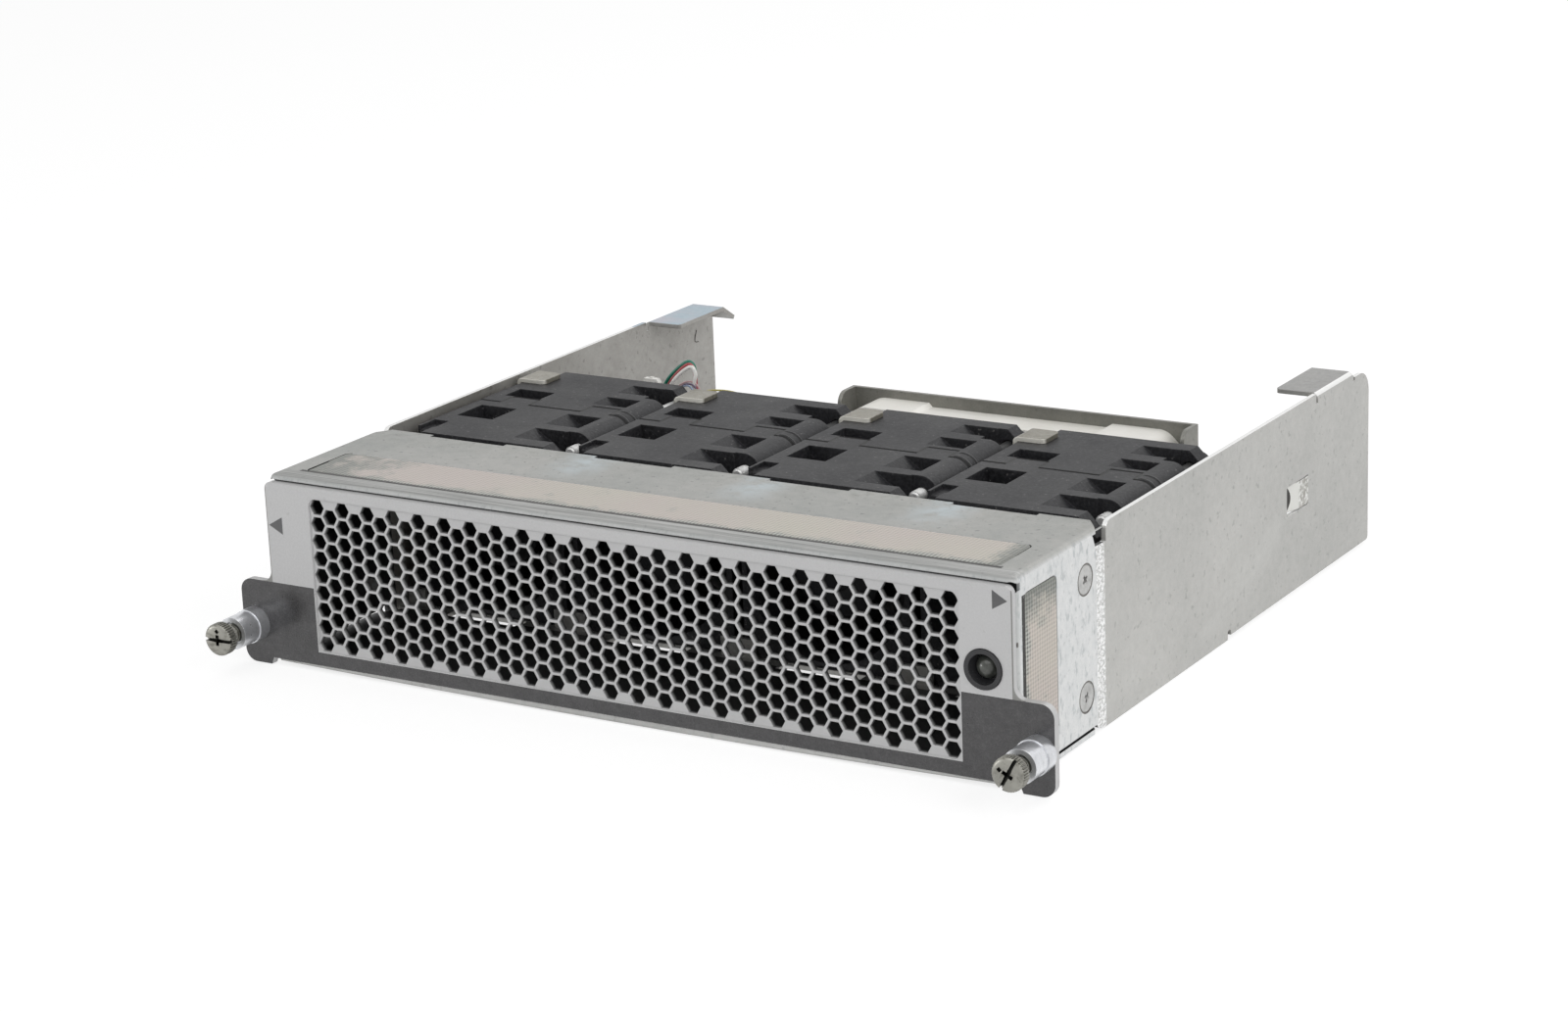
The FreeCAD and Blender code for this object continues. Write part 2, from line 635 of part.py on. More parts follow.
def arm_profile():
    """Side view of an arm, which its sheet is trimmed to."""
    relief = TRAY_BEND_REAR + BEND_RELIEF_WIDTH
    tongue_bottom = SHELL_BOTTOM + SHEET + SHELL_FLANGE_SLOT + ARM_FOOT_GAP
    foot_front = SHELL_FLANGE_REAR + ARM_FOOT_GAP
    deck_end = SHELL_REAR + ARM_DECK_GAP
    notch_rear = TAB_FRONT + TAB_LENGTH + TAB_NOTCH
    points = [
        (ARM_TONGUE_FRONT, tongue_bottom, ARM_SMALL_R),
        (foot_front, tongue_bottom),
        (foot_front, ARM_FOOT_RISE, ARM_FOOT_R),
        (SHELL_REAR - ARM_FOOT_GAP, 0.0),
        (TRAY_BEND_REAR, 0.0),
        (TRAY_BEND_REAR, BEND_RELIEF_HEIGHT, BEND_RELIEF_R),
        (relief, BEND_RELIEF_HEIGHT, BEND_RELIEF_R),
        (relief, ARM_REAR_STEP),
        (ARM_REAR, ARM_REAR_STEP, ARM_SMALL_R),
        (ARM_REAR, ARM_REAR_TOP, ARM_REAR_CORNER_R),
        (notch_rear, ARM_REAR_TOP),
        (notch_rear, SHELL_TOP),
        (deck_end, SHELL_TOP, ARM_EDGE_R),
        (deck_end, ARM_TONGUE_TOP),
        (ARM_TONGUE_FRONT, ARM_TONGUE_TOP, ARM_EDGE_R),
    ]
    return plate_yz(points, ARM_INNER - ARM_REACH, ARM_OUTER + ARM_REACH)


def arm_tab():
    """Flap folded inwards from the top of the right arm, with a lip that dips to the rear."""
    bend = TRAY_BEND_R
    edge = ARM_OUTER - TAB_REACH
    rear = TAB_FRONT + TAB_LENGTH
    section = plate_xz([(ARM_INNER, TAB_ROOT), (ARM_OUTER, TAB_ROOT), (ARM_OUTER, SHELL_TOP, bend),
                        (edge, SHELL_TOP), (edge, SHELL_TOP - SHEET),
                        (ARM_INNER, SHELL_TOP - SHEET, bend - SHEET)], TAB_FRONT, rear)
    corner = plate_xy([(edge, TAB_FRONT, TAB_CORNER_R), (ARM_OUTER + 1, TAB_FRONT), (ARM_OUTER + 1, rear),
                       (edge, rear)], TAB_ROOT - 1, SHELL_TOP + 1)
    run = math.sqrt(LIP_LENGTH ** 2 + LIP_DROP ** 2)
    sink_y = LIP_DROP / run * SHEET
    sink_z = LIP_LENGTH / run * SHEET
    lip = plate_yz([(rear, SHELL_TOP), (rear + LIP_LENGTH, SHELL_TOP - LIP_DROP),
                    (rear + LIP_LENGTH - sink_y, SHELL_TOP - LIP_DROP - sink_z),
                    (rear - sink_y / 2, SHELL_TOP - SHEET)], edge, ARM_INNER - LIP_SIDE_GAP)
    return fused([section.common(corner), lip])


def arm_openings():
    """Bend reliefs, latch window and screw holes of the right arm."""
    low = SHELL_TOP - TAB_NOTCH_DEPTH
    rear = TAB_FRONT + TAB_LENGTH
    latch_rear = LATCH_FRONT + LATCH_LENGTH
    latch_top = LATCH_BOTTOM + LATCH_HEIGHT
    r = LATCH_CORNER_R
    x0 = ARM_INNER - 1
    x1 = ARM_OUTER + 1
    cuts = [
        box(x0, x1, TAB_FRONT - TAB_NOTCH, TAB_FRONT, low, SHELL_TOP + 1),
        box(x0, x1, rear, rear + TAB_NOTCH, low, SHELL_TOP + 1),
        plate_yz([(LATCH_FRONT, LATCH_BOTTOM, r), (latch_rear, LATCH_BOTTOM, r),
                  (latch_rear, latch_top, r), (LATCH_FRONT, latch_top, r)], x0, x1),
    ]
    for height in SIDE_SCREW_HEIGHTS:
        cuts.append(countersink(height))
    return cuts


def latch_tongue():
    """Tongue of the latch window: flat at the rear, then pressed in until it laps the front edge."""
    rear = LATCH_FRONT + LATCH_LENGTH
    kink = rear - LATCH_TONGUE_FLAT
    front = LATCH_FRONT - LATCH_TONGUE_LAP
    z0 = LATCH_BOTTOM + LATCH_TONGUE_GAP
    z1 = LATCH_BOTTOM + LATCH_HEIGHT - LATCH_TONGUE_GAP
    depth = LATCH_TONGUE_DEPTH
    return plate_xy([(ARM_INNER, rear), (ARM_OUTER, rear), (ARM_OUTER, kink), (ARM_OUTER - depth, front),
                     (ARM_INNER - depth, front), (ARM_INNER, kink)], z0, z1)


def tray_arm():
    sheet = arm_sheet().common(arm_profile())
    tab_room = box(ARM_INNER - 1, ARM_OUTER + 1, TAB_FRONT, TAB_FRONT + TAB_LENGTH, TAB_ROOT, SHELL_TOP + 1)
    arm = sheet.cut(tab_room)
    return fused([arm, arm_tab()]).cut(arm_openings()).fuse(latch_tongue())


def tray_floor():
    """Floor under the fans with bent edges, and the tongue that carries the rear bracket."""
    bend = TRAY_BEND_R
    top = BENT_EDGE_HEIGHT
    trough = plate_xz([(-ARM_OUTER, 0, bend), (ARM_OUTER, 0, bend), (ARM_OUTER, top), (ARM_INNER, top),
                       (ARM_INNER, SHEET, bend - SHEET), (-ARM_INNER, SHEET, bend - SHEET),
                       (-ARM_INNER, top), (-ARM_OUTER, top)], TRAY_FRONT, TRAY_BEND_REAR)
    edge = ARM_INNER - FLOOR_SIDE_GAP
    rear = BRACKET_FACE
    lap = TRAY_BEND_REAR - bend
    corner = TONGUE_CORNER_R
    fillet = TONGUE_FILLET_R
    tongue = plate_xy([(-edge, lap), (edge, lap), (edge, TRAY_FLOOR_REAR, corner),
                       (TRAY_TONGUE_HALF, TRAY_FLOOR_REAR, fillet), (TRAY_TONGUE_HALF, rear, corner),
                       (-TRAY_TONGUE_HALF, rear, corner), (-TRAY_TONGUE_HALF, TRAY_FLOOR_REAR, fillet),
                       (-edge, TRAY_FLOOR_REAR, corner)], 0, SHEET)
    return [trough, tongue]


def floor_stops():
    """Low stops bent up from the floor in front of the fans, between the finger notches."""
    stops = []
    for i in range(FAN_COUNT + 1):
        x = (i - FAN_COUNT / 2) * FAN_PITCH
        limit = ARM_INNER - FLOOR_SIDE_GAP
        x0 = max(x - FLOOR_STOP_WIDTH / 2, -limit)
        x1 = min(x + FLOOR_STOP_WIDTH / 2, limit)
        rear = FAN_FRONT - FLOOR_STOP_GAP
        stops.append(box(x0, x1, rear - SHEET, rear, SHEET / 2, SHEET + FLOOR_STOP_HEIGHT))
    return stops


def chassis_tray():
    arm = tray_arm()
    body = fused([arm, mirrored(arm)] + tray_floor() + floor_stops())
    cuts = []
    for centre in FAN_CENTRES:
        cuts.append(box(centre - FINGER_NOTCH_WIDTH / 2, centre + FINGER_NOTCH_WIDTH / 2,
                        TRAY_FRONT - 1, FAN_FRONT - FLOOR_NOTCH_GAP, -1, SHEET + 1))
    cuts += [rod_z(x, y, -1, SHEET + 1, RIVET_R) for x, y in rivet_places()]
    return body.cut(cuts).removeSplitter()


def clip_left(centre):
    """Left face of the leg of the clip that holds the fan at this centre."""
    return centre - FAN_HALF - CLIP_GAP - SHEET


def fan_clip(centre):
    x0 = clip_left(centre)
    x1 = x0 + SHEET
    under = FAN_TOP + CLIP_TOP_GAP
    top = under + SHEET
    reach = centre - FAN_HALF + CLIP_REACH
    rear = CLIP_FRONT + CLIP_WIDTH
    hook = plate_xz([(x0, CLIP_LEG_HEIGHT), (x0, top, CLIP_BEND_R), (reach, top), (reach, under),
                     (x1, under, CLIP_BEND_R - SHEET), (x1, CLIP_LEG_HEIGHT)], CLIP_FRONT, rear)
    tip = plate_xy([(x0 - 1, CLIP_FRONT), (reach, CLIP_FRONT, CLIP_TIP_R), (reach, rear, CLIP_TIP_R),
                    (x0 - 1, rear)], 0, top + 1)
    leg = box(x0, x1, CLIP_FRONT, CLIP_LEG_REAR, SHEET, CLIP_LEG_HEIGHT)
    foot = box(x0, x1 + CLIP_FOOT_WIDTH, CLIP_FOOT_FRONT, CLIP_LEG_REAR, SHEET, 2 * SHEET)
    hole = rod_z(x1 + CLIP_FOOT_WIDTH / 2, (CLIP_FOOT_FRONT + CLIP_LEG_REAR) / 2, 0, 3 * SHEET, RIVET_R)
    return fused([hook.common(tip), leg, foot]).cut(hole)


def clip_rivet_places():
    y = (CLIP_FOOT_FRONT + CLIP_LEG_REAR) / 2
    return [(clip_left(centre) + SHEET + CLIP_FOOT_WIDTH / 2, y) for centre in FAN_CENTRES]


def bracket_rivet_places():
    y = BRACKET_FACE + SHEET - BRACKET_FOOT / 2
    return [(i * BRACKET_RIVET_SPACING, y) for i in (-1, 0, 1)]


def rivet_places():
    return clip_rivet_places() + bracket_rivet_places()


def rivet(x, y):
    """Rivet set flush in the underside, with its head above the upper sheet."""
    head = rod_z(x, y, 2 * SHEET, 2 * SHEET + RIVET_HEAD, RIVET_HEAD_R)
    return rod_z(x, y, 0, 2 * SHEET, RIVET_R).fuse(head)


def connector_bracket():
    face = BRACKET_FACE
    back = face + SHEET
    foot_front = back - BRACKET_FOOT
    upright = plate_yz([(foot_front, SHEET), (back, SHEET, BRACKET_BEND_R), (back, BRACKET_TOP),
                        (face, BRACKET_TOP), (face, 2 * SHEET, BRACKET_BEND_R - SHEET),
                        (foot_front, 2 * SHEET)], -BRACKET_HALF, BRACKET_HALF)
    cheek = plate_yz([(face - BRACKET_FLANGE, BRACKET_FLANGE_BOTTOM, BRACKET_FOOT_R),
                      (back, BRACKET_FLANGE_BOTTOM),
                      (back, BRACKET_TOP), (face - BRACKET_FLANGE, BRACKET_TOP, BRACKET_CORNER_R)],
                     BRACKET_HALF - SHEET, BRACKET_HALF)
    edge_trim = box(BRACKET_HALF - 2 * SHEET, BRACKET_HALF + 1, foot_front - 1, back + 1,
                    0, BRACKET_FLANGE_BOTTOM)
    window = box(-NOSE_HALF - NOSE_GAP, NOSE_HALF + NOSE_GAP, face - 1, back + 1,
                 NOSE_BOTTOM - NOSE_GAP, NOSE_TOP + NOSE_GAP)
    cuts = [window] + both_sides([edge_trim])
    cuts += [rod_z(x, y, 0, 3 * SHEET, RIVET_R) for x, y in bracket_rivet_places()]
    cuts += [rod_y(side * CONNECTOR_SCREW_X, CONNECTOR_SCREW_Z, face - 1, back + 1, SIDE_SCREW_R)
             for side in (-1, 1)]
    return fused([upright] + both_sides([cheek])).cut(cuts).removeSplitter()


def docking_connector():
    """Moulded housing: saddle-topped body in front of the panel, hollow nose through it."""
    saddle = CONNECTOR_TOP - CONNECTOR_SADDLE
    right = [
        (CONNECTOR_HALF, CONNECTOR_BOTTOM, CONNECTOR_FOOT_R),
        (CONNECTOR_HALF, CONNECTOR_TOP - CONNECTOR_SHOULDER_R, CONNECTOR_CHEEK_R),
        (CONNECTOR_SHOULDER, CONNECTOR_TOP, CONNECTOR_SHOULDER_R),
        (CONNECTOR_SADDLE_HALF + CONNECTOR_BEVEL, CONNECTOR_TOP),
        (CONNECTOR_SADDLE_HALF, saddle),
    ]
    left = [(-point[0],) + point[1:] for point in reversed(right)]
    body = plate_xz(right + left, CONNECTOR_FRONT, BRACKET_FACE)
    nose = box(-NOSE_HALF, NOSE_HALF, BRACKET_FACE - 1, REACH_REAR, NOSE_BOTTOM, NOSE_TOP)
    mouth = box(-NOSE_HALF + MOUTH_WALL, NOSE_HALF - MOUTH_WALL, REACH_REAR - MOUTH_DEPTH, REACH_REAR + 1,
                NOSE_BOTTOM + MOUTH_WALL, NOSE_TOP - MOUTH_WALL)
    screws = [rod_y(side * CONNECTOR_SCREW_X, CONNECTOR_SCREW_Z, CONNECTOR_FRONT - 1, BRACKET_FACE + 1,
                    SIDE_SCREW_R + SCREW_GAP) for side in (-1, 1)]
    slots = [box(x - CONTACT_SIZE / 2, x + CONTACT_SIZE / 2, CONNECTOR_FRONT - 1, REACH_REAR,
                 z - CONTACT_SIZE / 2, z + CONTACT_SIZE / 2) for x, z in contact_places()]
    return fused([body, nose]).cut([mouth] + screws + slots)


def contact_places():
    places = []
    for i in range(CONTACT_COLUMNS):
        x = (i - (CONTACT_COLUMNS - 1) / 2) * CONTACT_SPACING
        for side in (-1, 1):
            places.append((x, CONNECTOR_MID_Z + side * CONTACT_ROW_SPACING / 2))
    return places


def connector_contacts():
    half = CONTACT_SIZE / 2
    start = CONNECTOR_FRONT + CONTACT_FRONT
    end = REACH_REAR - CONTACT_RECESS
    return Part.makeCompound([box(x - half, x + half, start, end, z - half, z + half)
                              for x, z in contact_places()])


def connector_screws():
    """Two screws that hold the connector to its bracket, with heads in front."""
    solids = []
    for side in (-1, 1):
        x = side * CONNECTOR_SCREW_X
        shank = rod_y(x, CONNECTOR_SCREW_Z, CONNECTOR_FRONT, BRACKET_FACE + SHEET, SIDE_SCREW_R)
        head = rod_y(x, CONNECTOR_SCREW_Z, CONNECTOR_FRONT - FAN_SCREW_HEAD, CONNECTOR_FRONT,
                     FAN_SCREW_HEAD_R)
        solids.append(shank.fuse(head))
    return Part.makeCompound(solids)


def pocket(x_pair, depth, y0, y1):
    """Wedge between the duct and a post: its floor falls away from the flat top."""
    near, far = x_pair
    return plate_xz([(near, FAN_HALF), (far, FAN_HALF - depth), (far, FAN_HALF + 1), (near, FAN_HALF + 1)],
                    y0, y1)


def corner_cuts():
    """Cuts at the post corner and at the plain corner, for the top of one fan."""
    half = FAN_HALF
    rear_gap = FAN_LENGTH - FAN_FLANGE
    cuts = [box(FAN_CORNER_WALL, half + 1, FAN_FLANGE, FAN_POST_START, FAN_CORNER_WALL, half + 1),
            box(FAN_CORNER_WALL, half + 1, FAN_POST_END, rear_gap, FAN_CORNER_WALL, half + 1)]
    rounding = box(half - FAN_POST_R, half + 1, FAN_POST_START, FAN_POST_END, half - FAN_POST_R, half + 1)
    post = rod_y(half - FAN_POST_R, half - FAN_POST_R, FAN_POST_START, FAN_POST_END, FAN_POST_R)
    cuts.append(rounding.cut(post))
    for y0, y1 in RIGHT_POCKETS:
        cuts.append(pocket(RIGHT_POCKET_X, RIGHT_POCKET_DEPTH, y0, min(y1, rear_gap)))
    for y0, y1 in LEFT_POCKETS:
        cuts.append(pocket(LEFT_POCKET_X, LEFT_POCKET_DEPTH, y0, y1))
    x0, x1, y0, y1 = FRONT_PAD
    cuts.append(box(x0, x1, y0, y1, half - FAN_PAD_DEPTH, half + 1))
    return cuts


def half_turned(shape):
    """The same form on the opposite corner of the fan."""
    copy = shape.copy()
    copy.rotate(vec(0, 0, 0), vec(0, 1, 0), 180)
    return copy


def flange_chamfers():
    cuts = []
    reach = FAN_HALF + 1
    start = FAN_HALF - FAN_FLANGE_CHAMFER
    for y0, y1 in ((-1, FAN_FLANGE), (FAN_LENGTH - FAN_FLANGE, FAN_LENGTH + 1)):
        for sx in (-1, 1):
            for sz in (-1, 1):
                cuts.append(plate_xz([(sx * start, sz * reach), (sx * reach, sz * reach),
                                      (sx * reach, sz * (start - 1)), (sx * FAN_HALF, sz * start),
                                      (sx * start, sz * FAN_HALF)], y0, y1))
    return cuts


def motor_base(front):
    """Disc with a bore for the shaft, on struts across the duct."""
    y0 = FAN_SEAM - MOTOR_BASE_GAP / 2 - MOTOR_BASE_LENGTH if front else FAN_SEAM + MOTOR_BASE_GAP / 2
    disc = rod_y(0, 0, y0, y0 + MOTOR_BASE_LENGTH, MOTOR_BASE_R)
    strut_y = y0 + (MOTOR_BASE_LENGTH - STRUT_LENGTH) / 2
    struts = []
    for i in range(STRUT_COUNT):
        strut = box(MOTOR_BASE_R - STRUT_ROOT, FAN_BORE_R + STRUT_LAP, strut_y, strut_y + STRUT_LENGTH,
                    -STRUT_WIDTH / 2, STRUT_WIDTH / 2)
        strut.rotate(vec(0, 0, 0), vec(0, 1, 0), 360 / STRUT_COUNT * (i + 0.5))
        struts.append(strut)
    bore = rod_y(0, 0, y0 - 1, y0 + MOTOR_BASE_LENGTH + 1, ROTOR_SHAFT_R + ROTOR_SHAFT_GAP)
    return fused([disc] + struts).cut(bore)


def lugs():
    """Ends of the front frame that overlap the rear frame beside the flat top."""
    tops = [box(side * FAN_LUG_INNER if side > 0 else -FAN_LUG_OUTER,
                FAN_LUG_OUTER if side > 0 else -FAN_LUG_INNER,
                FAN_SEAM - 1, FAN_SEAM + FAN_LUG_REACH, FAN_HALF - FAN_LUG_DEPTH, FAN_HALF + 1)
            for side in (-1, 1)]
    return tops


def fan_frames():
    """Front and rear frame of one fan, with the fan's front centre at the origin."""
    block = box(-FAN_HALF, FAN_HALF, 0, FAN_LENGTH, -FAN_HALF, FAN_HALF)
    top_cuts = corner_cuts()
    cuts = top_cuts + [half_turned(cut) for cut in top_cuts] + flange_chamfers()
    cuts.append(rod_y(0, 0, -1, FAN_LENGTH + 1, FAN_BORE_R))
    cuts.append(rod_y(POST_AT, POST_AT, FAN_FLANGE, FAN_LENGTH + 1, FAN_SCREW_BORE_R))
    body = block.cut(cuts)
    front_zone = box(-BIG, BIG, -1, FAN_SEAM, -BIG, BIG).multiFuse(lugs())
    front = fused([body.common(front_zone), motor_base(True)])
    rear = fused([body.cut(front_zone), motor_base(False)])
    return front, rear


def blade(hand):
    """Cambered blade of flat facets, twisted from root to tip; hand gives the way it leans."""
    lean = ((-BLADE_ROOT_SWEEP, BLADE_CAMBER, BLADE_ROOT_SWEEP),
            (-BLADE_TIP_SWEEP, BLADE_CAMBER, BLADE_TIP_SWEEP))
    reach = (ROTOR_HUB_R - BLADE_ROOT_DEPTH, FAN_BORE_R - ROTOR_TIP_GAP)

    def corner(end, i, side):
        x = lean[end][i]
        z = math.sqrt(reach[end] ** 2 - x ** 2)
        return vec(hand * x + side * BLADE_THICKNESS / 2, (i - 1) * BLADE_CHORD / 2, z)

    facets = []
    for side in (-1, 1):
        for i in (0, 1):
            low, low_next = corner(0, i, side), corner(0, i + 1, side)
            high, high_next = corner(1, i, side), corner(1, i + 1, side)
            facets += [(low, low_next, high_next), (low, high_next, high)]
    for end in (0, 1):
        for i in (0, 1):
            facets.append((corner(end, i, -1), corner(end, i + 1, -1),
                           corner(end, i + 1, 1), corner(end, i, 1)))
    for i in (0, 2):
        facets.append((corner(0, i, -1), corner(1, i, -1), corner(1, i, 1), corner(0, i, 1)))
    faces = [Part.Face(Part.makePolygon(list(points) + [points[0]])) for points in facets]
    return Part.Solid(Part.Shell(faces))


def rotor(front):
    """Hub, shaft and blades about the y axis, in place along the fan."""
    hand = 1 if front else -1
    base_face = FAN_SEAM - hand * (MOTOR_BASE_GAP / 2 + MOTOR_BASE_LENGTH)
    near = base_face - hand * ROTOR_HUB_GAP
    far = near - hand * ROTOR_HUB_LENGTH
    y0, y1 = min(near, far), max(near, far)
    hub = rod_y(0, 0, y0, y1, ROTOR_HUB_R)
    shaft_end = near + hand * ROTOR_SHAFT_LENGTH
    shaft = rod_y(0, 0, min(near, shaft_end), max(near, shaft_end), ROTOR_SHAFT_R)
    blades = []
    for i in range(BLADE_COUNT):
        piece = blade(hand)
        piece.translate(vec(0, (y0 + y1) / 2, 0))
        piece.rotate(vec(0, 0, 0), vec(0, 1, 0), 360 / BLADE_COUNT * i)
        blades.append(piece)
    return fused([hub, shaft] + blades)


def fan_screw():
    """Long screw from the rear flange through the post; its tip stands out in front."""
    tip = FAN_POST_START - FAN_SCREW_TIP
    shank = rod_y(POST_AT, POST_AT, tip, FAN_LENGTH, FAN_SCREW_R)
    head = rod_y(POST_AT, POST_AT, FAN_LENGTH, FAN_LENGTH + FAN_SCREW_HEAD, FAN_SCREW_HEAD_R)
    return shank.fuse(head)


def at_fan(shape, centre):
    copy = shape.copy()
    copy.translate(vec(centre, FAN_FRONT, FAN_AXIS_Z))
    return copy


def screw_barrel(x):
    """Stepped barrel pressed into the ear, hollow for the spring."""
    base = rod_y(x, THUMB_Z, -BARREL_BASE, 0, BARREL_R)
    nose = rod_y(x, THUMB_Z, BARREL_FRONT, -BARREL_BASE, BARREL_NOSE_R)
    collar = rod_y(x, THUMB_Z, 0, EAR_BACK, BARREL_COLLAR_R)
    chamber = rod_y(x, THUMB_Z, BARREL_FRONT + BARREL_LIP, EAR_BACK - BARREL_FLOOR, BARREL_CHAMBER_R)
    lip = rod_y(x, THUMB_Z, BARREL_FRONT - 1, BARREL_FRONT + BARREL_LIP + 1, BARREL_LIP_R)
    hole = rod_y(x, THUMB_Z, -1, EAR_BACK + 1, THUMB_THREAD_R + THUMB_HOLE_GAP)
    return fused([base, nose, collar]).cut([chamber, lip, hole])


def retaining_ring(x):
    ring = rod_y(x, THUMB_Z, THUMB_RING_FRONT, THUMB_RING_FRONT + THUMB_RING, THUMB_RING_R)
    return ring.cut(rod_y(x, THUMB_Z, THUMB_RING_FRONT - 1, THUMB_RING_FRONT + THUMB_RING + 1,
                          THUMB_SHANK_R + ROTOR_SHAFT_GAP))


def thumbscrew(x, slot_angle):
    """Head, neck, thin shank inside the barrel, and a threaded tip behind the ear."""
    head = rod_y(x, THUMB_Z, THUMB_HEAD_FRONT, THUMB_HEAD_REAR, THUMB_HEAD_R)
    neck = rod_y(x, THUMB_Z, THUMB_HEAD_REAR, THUMB_RING_FRONT, THUMB_NECK_R)
    thread_start = EAR_BACK + THUMB_THREAD_START
    shank = rod_y(x, THUMB_Z, THUMB_RING_FRONT, thread_start, THUMB_SHANK_R)
    thread = rod_y(x, THUMB_Z, thread_start, EAR_BACK + THUMB_TIP, THUMB_THREAD_R)
    slot = box(-BIG, BIG, THUMB_HEAD_FRONT - 1, THUMB_HEAD_FRONT + THUMB_SLOT_DEPTH,
               -THUMB_SLOT_WIDTH / 2, THUMB_SLOT_WIDTH / 2)
    slot.rotate(vec(0, 0, 0), vec(0, 1, 0), -slot_angle)
    slot.translate(vec(x, 0, THUMB_Z))
    return fused([head, neck, shank, thread]).cut(slot)


def prism_y(x, z, y0, y1, r):
    """Regular prism about a line along y."""
    points = []
    for k in range(SPRING_SIDES + 1):
        angle = 2 * math.pi * k / SPRING_SIDES
        points.append(vec(x + r * math.cos(angle), y0, z + r * math.sin(angle)))
    return Part.Face(Part.makePolygon(points)).extrude(vec(0, y1 - y0, 0))


def spring_rings(x):
    """Spring in the barrel: closed turns of square wire, joined by short steps."""
    start = THUMB_RING_FRONT + THUMB_RING
    end = EAR_BACK - BARREL_FLOOR
    step = (end - start - SPRING_WIRE) / (SPRING_TURNS - 1)
    outer = SPRING_R + SPRING_WIRE / 2
    inner = SPRING_R - SPRING_WIRE / 2
    pieces = []
    for i in range(SPRING_TURNS):
        y = start + i * step
        turn = prism_y(x, THUMB_Z, y, y + SPRING_WIRE, outer)
        pieces.append(turn.cut(prism_y(x, THUMB_Z, y - 1, y + 1, inner)))
        if i:
            side = 1 if i % 2 else -1
            x0, x1 = sorted((x + side * inner, x + side * (outer - SPRING_STEP_INSET)))
            pieces.append(box(x0, x1, y - step, y + SPRING_WIRE,
                              THUMB_Z - SPRING_WIRE / 2, THUMB_Z + SPRING_WIRE / 2))
    return fused(pieces)


def lead(points, r):
    """Six-sided lead along straight runs joined by tangent arcs as large as the runs allow."""
    path = []
    start = points[0]
    for before, point, after in zip(points, points[1:], points[2:]):
        to_before = before.sub(point)
        to_after = after.sub(point)
        turn = math.pi - to_before.getAngle(to_after)
        cut = LEAD_BEND_SHARE * min(to_before.Length, to_after.Length)
        radius = cut / math.tan(turn / 2)
        ua = to_before.normalize()
        ub = to_after.normalize()
        middle = ua.add(ub).normalize()
        mid = point.add(middle.multiply(radius / math.cos(turn / 2) - radius))
        arc_start = point.add(vec(*ua).multiply(cut))
        arc_end = point.add(vec(*ub).multiply(cut))
        path.append(Part.LineSegment(start, arc_start).toShape())
        path.append(Part.Arc(arc_start, mid, arc_end).toShape())
        start = arc_end
    path.append(Part.LineSegment(start, points[-1]).toShape())
    along = points[1].sub(points[0]).normalize()
    across = along.cross(vec(0, 0, 1) if abs(along.z) < 0.9 else vec(1, 0, 0)).normalize()
    up = along.cross(across)
    ring = [points[0].add(vec(*across).multiply(r * math.cos(math.radians(60 * k))))
            .add(vec(*up).multiply(r * math.sin(math.radians(60 * k)))) for k in range(7)]
    profile = Part.makePolygon(ring)
    return Part.Wire(path).makePipeShell([profile], True, False)


def plug_housing():
    """Small white plug of the first fan's leads, tucked behind that fan."""
    left = PLUG_RIGHT - PLUG_WIDTH
    bottom = PLUG_TOP - PLUG_HEIGHT
    rear = PLUG_Y + PLUG_DEPTH / 2
    shoulder = PLUG_TOP - PLUG_BEVEL
    body = plate_xz([(left, bottom), (PLUG_RIGHT, bottom), (PLUG_RIGHT, shoulder),
                     (PLUG_RIGHT - PLUG_BEVEL, PLUG_TOP), (left + PLUG_BEVEL, PLUG_TOP), (left, shoulder)],
                    PLUG_Y - PLUG_DEPTH / 2, rear)
    latch = box(left + PLUG_WIDTH / 3, PLUG_RIGHT - PLUG_WIDTH / 3, rear, rear + PLUG_LATCH_PROUD,
                shoulder - PLUG_LATCH_LENGTH, shoulder)
    return fused([body, latch])


def loop_lead(index):
    """Lead out of the plug's bottom that turns up, loops above the fan and drops to the connector."""
    y = PLUG_Y + (1 - index) * LOOP_Y_STEP
    shift = index * LOOP_X_STEP
    end_x, end_z = contact_places()[2 * index]
    rise = [vec(PLUG_RIGHT + reach + shift, y, z) for reach, z in LOOP_RISE]
    plug_x = PLUG_RIGHT - PLUG_WIDTH / 2
    plug_z = PLUG_TOP - PLUG_HEIGHT
    low = plug_z - LOOP_DROP
    start = [vec(plug_x, y, plug_z), vec(plug_x, y, low), vec(rise[0].x, y, low)]
    knee = [vec(end_x - LOOP_KNEE_X, y + LOOP_KNEE_Y, LOOP_KNEE_Z)]
    finish = [vec(end_x, CONNECTOR_FRONT - LEAD_LAST_RUN, end_z), vec(end_x, CONNECTOR_FRONT, end_z)]
    return lead(start + rise + knee + finish, LEAD_R)


def sleeved_lead(index):
    """Sleeved leads of one of the other fans, from its rear motor to the connector."""
    start_x = FAN_CENTRES[index] - SLEEVE_INSET
    end_x, end_z = contact_places()[2 * (index + SLEEVE_FIRST_COLUMN)]
    return lead([
        vec(start_x, FAN_REAR, SLEEVE_START_Z),
        vec(start_x, FAN_REAR + SLEEVE_FIRST_RUN, SLEEVE_START_Z),
        vec((start_x + 2 * end_x) / 3, FAN_REAR + SLEEVE_SECOND_RUN, SLEEVE_START_Z),
        vec(end_x, CONNECTOR_FRONT - LEAD_LAST_RUN, end_z),
        vec(end_x, CONNECTOR_FRONT, end_z),
    ], LEAD_SLEEVE_R)


